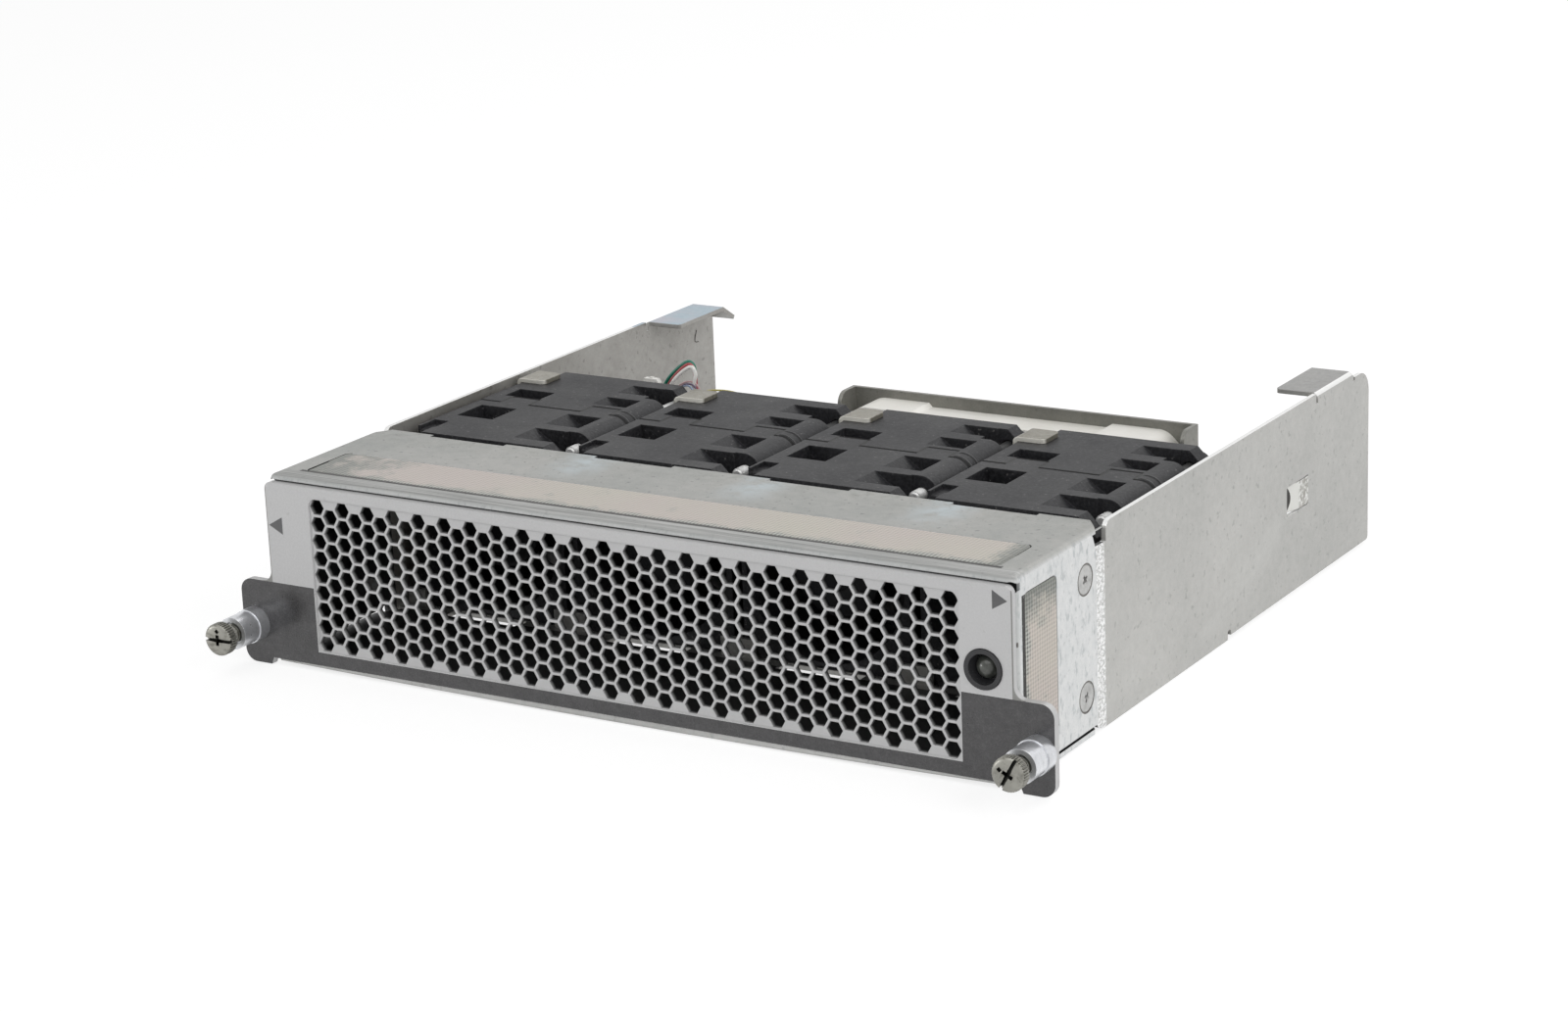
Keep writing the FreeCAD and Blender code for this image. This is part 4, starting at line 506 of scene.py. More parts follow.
def faceplate_paint():
    """Silver-grey face with the dark glossier print over both ears and the band under the grille."""
    s = Shader("faceplate_paint", (0.44, 0.44, 0.45), 0.42, 0.25)
    x, y, z = s.axes()
    side = s.math("ABSOLUTE", x)
    forward = s.forward()
    ears = s.all_of(s.below(z, PRINT_TOP), s.above(side, PRINT_INNER_X))
    front = s.all_of(s.below(y, 0.05), s.above(forward, 0.8))
    printed = s.all_of(s.either(ears, s.below(z, PRINT_BAND_TOP)), front)
    speckle = s.noise(2300.0, 3.0, 0.7)
    cloud = s.noise(40.0, 4.0, 0.6)
    silver = s.fade(cloud, 0.35, 0.65, (0.445, 0.445, 0.448), (0.478, 0.477, 0.479))
    # Painted shade: the silver darkens towards the left
    silver = s.fade(x, 90, -90, silver, (0.33, 0.33, 0.332), 0.3)
    silver = s.fade(speckle, 0.3, 0.7, silver, (0.54, 0.54, 0.54), 0.55)
    scuff = s.spread(s.noise(480.0, 2.0, 0.5), 0.7, 0.76, 0.0, 0.35)
    silver = s.mix(scuff, silver, (0.3, 0.29, 0.28))
    worn = s.noise(520.0, 5.0, 0.8)
    dark = s.fade(worn, 0.36, 0.68, (0.014, 0.0135, 0.015), (0.043, 0.041, 0.043))
    dark = s.fade(speckle, 0.5, 0.8, dark, (0.13, 0.125, 0.13), 0.35)
    tone = s.mix(printed, silver, dark)
    # The window round the grille, speckled darker as partly painted shade between the holes, and the walls of
    # its holes, painted light at the face and painted shade from there inwards
    window = s.all_of(s.below(side, PRINT_INNER_X), s.within(z, PRINT_BAND_TOP, WINDOW_TOP))
    tone = s.mix(s.all_of(window, s.spread(speckle, 0.3, 0.7, 0.0, 0.16)), tone, (0.3, 0.295, 0.295))
    wall = s.all_of(s.spread(forward, 0.3, 0.7, 1.0, 0.0), window)
    tone = s.mix(wall, tone, s.fade(y, 0.25, 1.35, (0.55, 0.55, 0.55), (0.03, 0.03, 0.03)))
    rim = s.all_of(s.above(side, 87.8), s.below(y, 0.3), s.above(z, PRINT_TOP))
    s.set("Base Color", s.mix(rim, tone, (0.22, 0.22, 0.21)))
    s.set("Roughness", s.spread(printed, 0.0, 1.0, 0.46, 0.24))
    s.set("Metallic", s.spread(printed, 0.0, 1.0, 0.35, 0.0))
    s.set("Specular IOR Level", 0.8)
    s.relief(s.math("ADD", speckle, worn), 0.1, 0.00006, 0.0002)
    return s.material


def moulded(name, colour, light, roughness, scale=900.0, strength=0.25, edge=0.00025, shine=0.5):
    """Fine-grained moulded plastic with soft cloudy wear."""
    s = Shader(name, colour, roughness)
    s.set("Specular IOR Level", shine)
    grain = s.noise(scale, 3.0, 0.6)
    cloud = s.noise(45.0, 4.0, 0.6)
    tone = s.fade(cloud, 0.35, 0.7, colour, light)
    s.set("Base Color", s.fade(grain, 0.45, 0.8, tone, light, 0.3))
    s.set("Roughness", s.spread(cloud, 0.3, 0.7, roughness - 0.06, roughness + 0.08))
    s.relief(grain, strength, 0.0001, edge)
    return s.material


def fan_moulding():
    """Matt black frames: fine texture, dust specks, the stepped joint line and a ring round each post."""
    s = Shader("fan_plastic", (0.02, 0.02, 0.022), 0.5)
    x, y, z = s.axes()
    u = s.repeated(x, FAN_FIRST_X, FAN_PITCH)
    off = s.math("ABSOLUTE", u)
    seam_y = s.math("MULTIPLY_ADD", s.within(off, *FAN_LUG_X), FAN_LUG_REACH, FAN_SEAM_Y)
    past = s.math("SUBTRACT", y, seam_y)
    along = s.below(s.math("ABSOLUTE", past), SEAM_HALF)
    jogs = s.either(*[s.near(off, edge, SEAM_HALF) for edge in FAN_LUG_X])
    jogs = s.all_of(jogs, s.within(y, FAN_SEAM_Y, FAN_SEAM_Y + FAN_LUG_REACH))
    ring = s.all_of(s.near(y, FAN_SEAM_Y + RING_LINE, 0.2), s.within(u, 11.8, 20.0), s.above(z, 33))
    lines = s.either(s.either(along, jogs), ring)
    grain = s.noise(1500.0, 3.0, 0.65)
    cloud = s.noise(60.0, 4.0, 0.6)
    tone = s.fade(cloud, 0.35, 0.7, (0.005, 0.005, 0.006), (0.015, 0.015, 0.017))
    tone = s.fade(grain, 0.4, 0.75, tone, (0.046, 0.046, 0.05), 0.7)
    dust = s.spread(s.noise(1500.0, 1.0, 0.5), 0.73, 0.78, 0.0, 0.35)
    tone = s.mix(dust, tone, (0.3, 0.29, 0.27))
    s.set("Base Color", s.mix(lines, tone, (0.003, 0.003, 0.003)))
    s.set("Roughness", s.spread(cloud, 0.3, 0.7, 0.46, 0.6))
    s.set("Specular IOR Level", 0.3)
    grained = s.node("ShaderNodeBump", {
        "Height": grain, "Strength": 0.35, "Distance": 0.0001, "Normal": s.rounded(0.0003)})
    stepped = s.node("ShaderNodeBump", {
        "Height": s.spread(past, -SEAM_HALF, SEAM_HALF), "Strength": 1.0, "Distance": 0.0012,
        "Normal": grained.outputs["Normal"]})
    s.set("Normal", stepped.outputs["Normal"])
    return s.material


def turned_metal(name, colour, roughness, metallic=1.0, recess=False):
    """Plated turned part: rings round the y axis and faint smears; heads get grime and painted shade in their
    recesses.
    """
    s = Shader(name, colour, roughness, metallic)
    rings = s.noise(5200.0, 2.0, 0.5, s.stretched((0.02, 1.0, 0.02)))
    smear = s.noise(420.0, 5.0, 0.7)
    tone = s.fade(smear, 0.42, 0.7, colour, tuple(0.62 * v for v in colour), 0.7)
    if recess:
        x, y, z = s.axes()
        off_x = s.math("SUBTRACT", s.math("ABSOLUTE", x), THUMB_X)
        off_z = s.math("SUBTRACT", z, THUMB_Z)
        out = s.math("SQRT", s.math("ADD", s.all_of(off_x, off_x), s.all_of(off_z, off_z)))
        head = box_mm("left_thumbscrew")[0].y
        # Painted shade in the slot, cross and dimple of the head
        recess_shade = s.all_of(s.below(out, RECESS_SHADE_R), s.within(y, head + 0.18, head + 2.2))
        grime = s.spread(s.noise(750.0, 4.0, 0.65), 0.5, 0.66, 0.0, 0.6)
        tone = s.mix(recess_shade, s.mix(grime, tone, (0.1, 0.095, 0.08)), (0.03, 0.03, 0.027))
    s.set("Base Color", tone)
    s.set("Roughness", s.spread(smear, 0.3, 0.7, roughness - 0.06, roughness + 0.12))
    s.relief(s.math("ADD", rings, smear), 0.12, 0.00005, 0.0001)
    return s.material


def woven(name, long_axis, ends, front, worn_ends):
    """Conductive cloth: fine woven dots, a creamy middle, greenish worn ends and front line, and painted
    shadow along the front edge.
    """
    s = Shader(name, (0.5, 0.45, 0.43), 0.6, 0.15)
    places = s.axes()
    along = places[long_axis]
    across = places[1]
    raw = s.split(s.place)
    wander = s.all_of(s.noise(260.0, 2.0, 0.5), 2.0)
    ribs, threads = [s.math("SINE", s.math("MULTIPLY_ADD", raw[axis], 2 * math.pi / (pitch * MM), wander))
                     for axis, pitch in ((long_axis, RIB_PITCH), (1, THREAD_PITCH))]
    fray = s.noise(160.0, 6.0, 0.75)
    blotch = s.noise(30.0, 4.0, 0.6)
    dots = s.spread(s.math("ADD", ribs, threads), -1.4, 1.0)
    cream = s.fade(blotch, 0.38, 0.62, (0.53, 0.5, 0.43), (0.54, 0.475, 0.44))
    cream = s.fade(dots, 1.0, 0.0, cream, (0.27, 0.25, 0.22), 0.5)
    near_end = s.either(s.spread(along, ends[0] + worn_ends[0], ends[0]),
                        s.spread(along, ends[1] - worn_ends[1], ends[1]))
    near_front = s.spread(across, front + 3.4, front + 0.3, 0.0, 0.9)
    wear = s.math("ADD", s.either(near_end, near_front), s.spread(fray, 0.3, 0.7, -0.7, 0.4))
    worn = s.mix(dots, (0.09, 0.1, 0.09), s.mix(near_end, (0.46, 0.47, 0.435), (0.16, 0.175, 0.155)))
    tone = s.fade(wear, 0.1, 0.6, cream, worn, 0.9)
    # Painted shadow along the cloth's front edge
    edge = s.spread(across, front + 0.45, front + 0.25)
    s.set("Base Color", s.mix(edge, tone, (0.02, 0.018, 0.016)))
    s.set("Sheen Weight", 0.25)
    s.relief(dots, 0.4, 0.0001)
    return s.material


def wire(name, colour):
    s = Shader(name, colour, 0.38)
    scuff = s.noise(900.0, 3.0, 0.6)
    lighter = tuple(min(1.0, 1.5 * v + 0.02) for v in colour)
    s.set("Base Color", s.fade(scuff, 0.4, 0.7, colour, lighter, 0.3))
    s.relief(scuff, 0.1, 0.00005)
    return s.material


def lamp_lens_material():
    """Unlit clear lamp: dark, glossy, slightly green."""
    s = Shader("lamp_clear", (0.05, 0.055, 0.045), 0.28)
    haze = s.noise(900.0, 3.0, 0.5)
    s.set("Base Color", s.fade(haze, 0.4, 0.7, (0.035, 0.038, 0.032), (0.075, 0.08, 0.07)))
    s.set("Coat Weight", 0.25)
    s.relief(haze, 0.05, 0.00003)
    return s.material


shell_metal = shell_sheet()
tray_metal = tray_sheet()
clip_metal = clip_sheet()
bracket_metal = plain_sheet("bracket_metal", (0.175, 0.175, 0.158), (0.285, 0.28, 0.255), 0.42, 0.6)
hem_metal = plain_sheet("hem_metal", (0.36, 0.36, 0.35), (0.5, 0.5, 0.49), 0.5, 0.3)
face_paint = faceplate_paint()
fan_plastic = fan_moulding()
rotor_plastic = moulded("rotor_plastic", (0.008, 0.008, 0.009), (0.018, 0.018, 0.02), 0.5, shine=0.2)
ivory = moulded("ivory", (0.83, 0.81, 0.75), (0.92, 0.905, 0.86), 0.45, 700.0, 0.1)
nylon = moulded("nylon", (0.76, 0.75, 0.7), (0.84, 0.83, 0.8), 0.45, 700.0, 0.1)
lamp_black = moulded("lamp_black", (0.012, 0.012, 0.014), (0.03, 0.03, 0.032), 0.28, 1200.0, 0.06)
sleeve_black = moulded("sleeve_black", (0.014, 0.014, 0.015), (0.035, 0.035, 0.037), 0.6, 2400.0, 0.4)
nickel = turned_metal("nickel", (0.7, 0.71, 0.735), 0.3, 0.85)
head_nickel = turned_metal("head_nickel", (0.31, 0.305, 0.275), 0.36, 0.9, True)
flathead_metal = turned_metal("flathead_metal", (0.5, 0.5, 0.49), 0.38, 0.6)
tip_metal = turned_metal("tip_metal", (0.8, 0.8, 0.79), 0.4, 0.4)
shank_metal = turned_metal("shank_metal", (0.05, 0.05, 0.05), 0.5, 0.4)
screw_metal = turned_metal("screw_metal", (0.7, 0.71, 0.71), 0.33, 0.7)
spring_metal = turned_metal("spring_metal", (0.62, 0.61, 0.58), 0.25)
contact_gold = turned_metal("contact_gold", (0.83, 0.62, 0.26), 0.25)
print_ink = moulded("print_ink", (0.085, 0.085, 0.088), (0.125, 0.125, 0.125), 0.5, 1800.0, 0.1, 0.0)
scratch_and_shade_ink = moulded("scratch_and_shade_ink", (0.1, 0.095, 0.085), (0.17, 0.16, 0.15), 0.6, 1800.0, 0.1, 0.0)
lamp_clear = lamp_lens_material()

# Materials of the CAD nodes by the end of their names; the first that fits is taken
NODE_MATERIALS = {
    "faceplate": face_paint, "front_shell": shell_metal, "chassis_tray": tray_metal, "fan_clips": clip_metal,
    "connector_bracket": bracket_metal, "docking_connector": ivory, "connector_contacts": contact_gold,
    "lamp_bezel": lamp_black, "lamp_lens": lamp_clear, "_screws": screw_metal, "_rivets": screw_metal,
    "plug_housing": nylon, "_gasket": ivory, "white_lead": nylon, "_lead": sleeve_black,
    "_leads": sleeve_black, "_frame": fan_plastic, "_rotor": rotor_plastic, "_screw_barrel": nickel,
    "_retaining_ring": nickel, "_screw_spring": spring_metal, "_thumbscrew": head_nickel,
}


def dress_nodes():
    """Every CAD node takes its material."""
    for name, node in nodes.items():
        node.data.materials.clear()
        node.data.materials.append(next(m for end, m in NODE_MATERIALS.items() if name.endswith(end)))


def linked(name, data):
    """New object in the scene."""
    made = bpy.data.objects.new(name, data)
    bpy.context.scene.collection.objects.link(made)
    return made


def smooth_between(mesh, degrees):
    """Smooth shading between edges sharper than an angle."""
    mesh.polygons.foreach_set("use_smooth", [True] * len(mesh.polygons))
    mesh.set_sharp_from_angle(angle=math.radians(degrees))


def closed_mesh(name, bm):
    """Mesh from a bmesh whose faces are turned outwards first."""
    mesh = bpy.data.meshes.new(name)
    bmesh.ops.recalc_face_normals(bm, faces=bm.faces)
    bm.to_mesh(mesh)
    bm.free()
    return mesh


def piece(name, bm, material, smooth=35.0, body="tray"):
    """New object from a bmesh, riding on a body."""
    mesh = closed_mesh(name, bm)
    mesh.materials.append(material)
    smooth_between(mesh, smooth)
    made = linked(name, mesh)
    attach(made, body)
    return made


def skin(*skins, cap_ends=True):
    """Bmesh with quads between the successive closed rings of each skin, and end caps."""
    bm = bmesh.new()
    for rings in skins:
        made = [[bm.verts.new(p) for p in ring] for ring in rings]
        count = len(made[0])
        for a, b in zip(made, made[1:]):
            for i in range(count):
                j = (i + 1) % count
                bm.faces.new((a[i], a[j], b[j], b[i]))
        if cap_ends:
            bm.faces.new(list(reversed(made[0])))
            bm.faces.new(made[-1])
    return bm


def turned(profile, x, z, segments, shape=None):
    """Rings about the y axis line at x, z; profile is (y, radius) pairs."""
    rings = []
    for y, r in profile:
        ring = []
        for k, angle in enumerate(circle(segments)):
            radius = r + (shape(k, r) if shape else 0.0)
            ring.append(at(x + radius * math.cos(angle), y, z + radius * math.sin(angle)))
        rings.append(ring)
    return rings


def coiled(x, z, coil_r, radii, steps):
    """Rings of a wire bent round the y axis line at x, z; radii are out and along, steps (angle, y) pairs."""
    rings = []
    for angle, y in steps:
        ring = []
        for a in circle(8):
            out = coil_r + radii[0] * math.cos(a)
            ring.append(at(x + out * math.cos(angle), y + radii[1] * math.sin(a), z + out * math.sin(angle)))
        rings.append(ring)
    return rings


def cut_away(target, cutters):
    """Boolean difference, applied at once; the cutters are removed."""
    for cutter in cutters:
        modifier = target.modifiers.new("cut", "BOOLEAN")
        modifier.operation = "DIFFERENCE"
        modifier.solver = "EXACT"
        modifier.object = cutter
    bpy.context.view_layer.update()
    graph = bpy.context.evaluated_depsgraph_get()
    result = bpy.data.meshes.new_from_object(target.evaluated_get(graph))
    target.modifiers.clear()
    target.data = result
    for cutter in cutters:
        bpy.data.objects.remove(cutter)
    smooth_between(result, 30)


def recess_cutter(half_length, half_width, depth, angle, taper, place):
    """Cutter narrowed by taper towards its floor, turned about y and put in place."""
    bm = bmesh.new()
    verts = [bm.verts.new((x, y, z)) for x in (-half_length, half_length) for y in (-1.0, depth)
             for z in (-half_width, half_width)]
    for quad in ((0, 1, 3, 2), (4, 6, 7, 5), (0, 4, 5, 1), (2, 3, 7, 6), (0, 2, 6, 4), (1, 5, 7, 3)):
        bm.faces.new([verts[i] for i in quad])
    for v in verts:
        if v.co.y > 0:
            v.co.x *= taper
    turn = Matrix.Rotation(math.radians(-angle), 3, "Y")
    for v in verts:
        v.co = place(turn @ v.co)
    return linked("recess", closed_mesh("recess", bm))


def thumbscrew(side):
    """Knurled head with slot and cross recess, neck, shank and thread, in place of the node."""
    low, high = box_mm(side + "_thumbscrew")
    x, z = middle_of(side + "_thumbscrew")
    front = low.y
    rear = high.y
    ear_back = box_mm("faceplate")[1].y
    head_r = (high.x - low.x) / 2

    def knurl(k, r):
        return -KNURL_DEPTH if r > head_r - 0.05 and k % 4 in (0, 3) else 0.0

    profile = [(front + step, head_r - inset) for step, inset in HEAD_STEPS]
    profile += [(front + step, r) for step, r in NECK_STEPS]
    profile += [(ear_back, SHANK_R), (ear_back + 0.05, THREAD_R)]
    y = ear_back + 0.1
    while y < rear - 0.45:
        profile += [(y, THREAD_R), (y + 0.22, THREAD_ROOT), (y + 0.3, THREAD_ROOT)]
        y += 0.5
    profile += [(rear - 0.2, 1.35), (rear, 1.1)]
    bm = skin(turned(profile, x, z, KNURL_TEETH * 4, knurl))
    made = piece(side + "_screw_detail", bm, head_nickel, 30.0, side + "_screw")
    angle = SLOT_ANGLES[side]
    dimple = Matrix.Rotation(math.radians(-angle - 90), 3, "Y") @ Vector((DIMPLE_OUT, 0, 0))

    def on_head(v):
        return at(x + v.x, front + v.y, z + v.z)

    def on_dimple(v):
        return on_head(v + dimple)

    cut_away(made, [
        recess_cutter(5.0, SLOT_WIDTH / 2, SLOT_DEPTH, angle, 1.0, on_head),
        recess_cutter(CROSS_HALF, CROSS_ARM, CROSS_DEPTH, angle, 0.5, on_head),
        recess_cutter(CROSS_HALF, CROSS_ARM, CROSS_DEPTH + 0.02, angle + 90, 0.5, on_head),
        recess_cutter(0.42, 0.42, DIMPLE_DEPTH, 45, 1.0, on_dimple)])
    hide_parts(side + "_thumbscrew")


def screw_spring(side):
    """Helical spring between the ring and the barrel floor."""
    low, high = box_mm(side + "_screw_spring")
    x, z = middle_of(side + "_screw_spring")
    length = high.y - low.y
    coil_r = (high.x - low.x) / 2 - SPRING_INSET
    angle = 2 * math.pi * SPRING_TURNS / SPRING_STEPS
    rise = (length - 2 * SPRING_WIRE_R) / SPRING_STEPS
    steps = [(angle * i, low.y + SPRING_WIRE_R + rise * i) for i in range(SPRING_STEPS + 1)]
    bm = skin(coiled(x, z, coil_r, (SPRING_WIRE_R, SPRING_WIRE_R), steps))
    made = piece(side + "_spring_coil", bm, spring_metal, 60.0)
    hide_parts(side + "_screw_spring")
    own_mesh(made)


def blade_ring(x, z, mid, hand, turn, share):
    """Section of a blade at a share of its height, with eight points on each face."""
    radius = HUB_R - 0.6 + (BLADE_TIP_R - HUB_R + 0.6) * share
    sweep = BLADE_SWEEP[0] + (BLADE_SWEEP[1] - BLADE_SWEEP[0]) * share
    steps = [2 * k / 7 - 1 for k in range(8)]
    ring = []
    for u, face in [(u, 1) for u in steps] + [(u, -1) for u in reversed(steps)]:
        thick = BLADE_HALF_THICKNESS * math.sqrt(max(0.0, 1 - u * u)) + 0.08
        lean = sweep * u + BLADE_CAMBER * (1 - u * u)
        across = hand * lean + face * thick
        height = math.sqrt(max(radius * radius - lean * lean, 1.0))
        ring.append(at(x + across * math.cos(turn) + height * math.sin(turn), mid + u * BLADE_HALF_CHORD,
                       z - across * math.sin(turn) + height * math.cos(turn)))
    return ring


def rotor(fan, end):
    """Hub with a rounded front and five cambered, twisted blades, in place of the node."""
    node = "%s_%s_rotor" % (fan, end)
    low, high = box_mm(node)
    x, z = middle_of("%s_%s_frame" % (fan, end))
    hand, nose, back = (1, low.y, high.y) if end == "front" else (-1, high.y, low.y)
    hub_end = nose + hand * HUB_LENGTH
    hub = turned([(nose, 4.2), (nose + hand * 0.25, 4.3), (nose + hand * 0.02, 4.6), (nose, HUB_R - 1.2),
                  (nose + hand * 0.35, HUB_R - 0.35), (nose + hand * 1.1, HUB_R), (hub_end, HUB_R),
                  (hub_end, 1.5), (back, 1.5)], x, z, 56)
    mid = (nose + hub_end) / 2
    blades = [[blade_ring(x, z, mid, hand, turn, i / 6) for i in range(7)] for turn in circle(BLADES)]
    bm = skin(hub, *blades)
    made = piece("%s_%s_impeller" % (fan, end), bm, rotor_plastic, 40.0, node)
    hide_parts(node)


def gasket(node, normal, outward):
    """Cloth-covered strip that sags along its front edge, in place of the plain solid."""
    low, high = box_mm(node)
    size = high - low
    flat = [i for i in range(3) if i != normal]
    long_axis, short_axis = sorted(flat, key=lambda i: -size[i])
    face, base = (high[normal], low[normal]) if outward > 0 else (low[normal], high[normal])
    half_a = size[long_axis] / 2
    half_b = size[short_axis] / 2
    steps_a = 96 if half_a > 50 else 36
    steps_b = 20
    bm = bmesh.new()
    grid = []
    for i in range(steps_a + 1):
        row = []
        for j in range(steps_b + 1):
            a = -math.cos(math.pi * i / steps_a) * half_a
            b = -math.cos(math.pi * j / steps_b) * half_b
            da = max(0.0, abs(a) - (half_a - GASKET_CORNER))
            db = max(0.0, abs(b) - (half_b - GASKET_CORNER))
            if da > 0 and db > 0:
                keep = max(da, db) / math.hypot(da, db)
                a -= math.copysign(da * (1 - keep), a)
                b -= math.copysign(db * (1 - keep), b)
            edge = min(half_a - abs(a), half_b - abs(b))
            sag = GASKET_SAG * math.exp(-edge / 0.5) if b < 0 else 0.0
            ripple = GASKET_RIPPLE * math.sin(a * 0.9) * math.sin(b * 1.3 + 1.0)
            point = (low + high) / 2
            point[long_axis] += a
            point[short_axis] += b
            point[normal] = face - outward * max(sag + ripple, 0.0)
            row.append(bm.verts.new(at(*point)))
        grid.append(row)
    for i in range(steps_a):
        for j in range(steps_b):
            bm.faces.new((grid[i][j], grid[i + 1][j], grid[i + 1][j + 1], grid[i][j + 1]))
    rim = [row[0] for row in grid] + grid[-1][1:] + [row[-1] for row in grid[-2::-1]] + grid[0][-2:0:-1]
    lower = []
    for v in rim:
        point = v.co.copy()
        point[normal] = base * MM
        lower.append(bm.verts.new(point))
    for i in range(len(rim)):
        j = (i + 1) % len(rim)
        bm.faces.new((rim[i], rim[j], lower[j], lower[i]))
    bm.faces.new(lower)
    ends = (low[long_axis], high[long_axis])
    cloth = woven(node + "_cloth", long_axis, ends, low.y, WORN_LONG if long_axis == 0 else WORN_SIDE)
    made = piece(node + "_cloth", bm, cloth, 50.0)
    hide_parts(node)


def side_rings(sign, face, y, z, steps, count=40, wide=1.0, tall=1.0):
    """Rings about a line across the tray; steps are pairs of depth below the face and radius."""
    return [[at(sign * (face - depth), y + wide * r * math.cos(a), z + tall * r * math.sin(a))
             for a in circle(count)] for depth, r in steps]


def flathead_screws():
    """Countersunk heads with cross recesses and a ring of painted shadow round them, in place of the plain
    ones.
    """
    low, high = box_mm("side_screws")
    face = high.x
    y = (low.y + high.y) / 2
    for side, sign in SIDES.items():
        for index, z in enumerate((low.z + FLATHEAD_R, high.z - FLATHEAD_R)):

            def on_flange(v, sign=sign, z=z):
                return at(sign * (face - v.y), y + v.x, z + v.z)

            bm = skin(side_rings(sign, face, y, z, FLATHEAD_STEPS))
            made = piece("%s_flathead_%d" % (side, index + 1), bm, flathead_metal, 30.0)
            length, width, depth = SIDE_CROSS
            cut_away(made, [recess_cutter(length, width, depth + turn * 0.0002, -turn, 0.5, on_flange)
                            for turn in (25 + 30 * index, 115 + 30 * index)])
            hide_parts("side_screws")
            # Ring round each head, coloured dark: painted shadow in the gap
            bm = skin(side_rings(sign, face, y, z, FLATHEAD_SHADE_RING), cap_ends=False)
            piece("%s_flathead_gap_%d" % (side, index + 1), bm, scratch_and_shade_ink)


def post_place(fan):
    """Middle of a fan's upper right post, across and up."""
    x, z = middle_of(fan + "_front_frame")
    return x + POST_OFFSET, z + POST_OFFSET


def tie_screws():
    """Threaded tips and domed heads of the long fan screws, in place of the plain rods."""
    for fan in FAN_NAMES:
        x, z = post_place(fan)
        start = box_mm(fan + "_front_frame")[0].y + TIE_START
        end = box_mm(fan + "_rear_frame")[1].y
        profile = [(start, 0.9), (start + 0.3, 1.2)]
        y = start + 0.35
        while y < start + TIE_TIP_LENGTH:
            profile += [(y, 1.4), (y + 0.12, 1.4), (y + 0.35, 1.08), (y + 0.42, 1.08)]
            y += 0.6
        profile.append((y, 1.2))
        tip = piece(fan + "_tie_tip", skin(turned(profile, x, z, 28)), tip_metal, 30.0)
        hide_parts("fan_screws")
        profile = [(y + 0.01, 1.2), (y + 0.02, 1.38), (end, 1.38), (end, 2.6), (end + 1.1, 2.55),
                   (end + 1.6, 2.0), (end + 1.8, 1.0)]
        metal = tip_metal if fan == FAN_NAMES[0] else shank_metal
        shank = piece(fan + "_tie_shank", skin(turned(profile, x, z, 28)), metal, 30.0)
        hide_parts("fan_screws")


def post_rings():
    """Two raised dark rings round the upper side of each post, by the joint of the frames."""
    for fan in FAN_NAMES:
        x, z = post_place(fan)
        for index, behind in enumerate(POST_RINGS):
            steps = [(math.radians(160 * i / 24 - 20), FAN_SEAM_Y + behind) for i in range(25)]
            bm = skin(coiled(x, z, POST_R + 0.02, POST_RING_RADII, steps))
            piece("%s_post_ring_%d" % (fan, index + 1), bm, lamp_black, 60.0)


def lamp_dome():
    """Domed clear lamp in the cup, in place of the plain lens."""
    x, z = middle_of("lamp_bezel")
    profile = [(DOME_TIP + DOME_R * (1 - math.cos(a)), max(DOME_R * math.sin(a), 0.02))
               for a in [math.radians(6 * k) for k in range(16)]]
    foot = DOME_TIP + DOME_R + 0.3
    profile += [(foot, DOME_R), (foot, DOME_FOOT_R), (foot + 1.7, DOME_FOOT_R), (foot + 1.7, 0.02)]
    made = piece("lamp_dome", skin(turned(profile, x, z, 48)), lamp_clear, 50.0)
    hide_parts("lamp_lens")


def arrow(name, corners):
    """Printed triangle, a hair above the face."""
    piece(name, skin([[at(x, y, z) for x, z in corners] for y in (-0.02, 0.0)]), print_ink)


def lead(name, points, radius, material, slot, *stands_for):
    """Smooth round lead through given points, in place of the six-sided solids."""
    data = bpy.data.curves.new(name, "CURVE")
    data.dimensions = "3D"
    data.bevel_depth = radius * MM
    data.bevel_resolution = 4
    data.resolution_u = 10
    data.use_fill_caps = True
    spline = data.splines.new("NURBS")
    spline.points.add(len(points) - 1)
    for target, point in zip(spline.points, points):
        target.co = (*at(*point), 1.0)
    spline.order_u = 3
    spline.use_endpoint_u = True
    data.materials.append(material)
    made = linked(name, data)
    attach(made, "tray")
    if stands_for:
        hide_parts(*stands_for)


def to_contact(column):
    """Last two points of a lead that ends in a column of the docking connector."""
    x = (column - 3.5) * CONTACT_PITCH
    return [(x, CONNECTOR_FRONT - 14.0, CONTACT_Z), (x, CONNECTOR_FRONT, CONTACT_Z)]


def loop_leads():
    """The leads that come out under the plug, loop up beside the first fan and run to the connector."""
    for index, (colour, tint) in enumerate(LOOP_COLOURS.items()):
        y = PLUG_Y + LOOP_PITCH * (1 - index)
        x = PLUG_RIGHT - PLUG_WIDTH / 2
        last = to_contact(index)
        rise = LOOP_BENDS[colour][0]
        drop = LOOP_BENDS[colour][-1]
        points = [(x, y, 31.7), (x, y, 28.2), (rise[0] - 2.0, y, 28.2)]
        points += [(bend_x, y, bend_z) for bend_x, bend_z in LOOP_BENDS[colour]]
        points += [(drop[0] + 0.3, y, 33.0), (last[0][0] - 12.0, y + 20.0, 17.0)] + last
        material = wire(colour + "_wire", tint)
        lead(colour + "_loop", points, LOOP_R, material, colour + "_insulation", colour + "_lead")


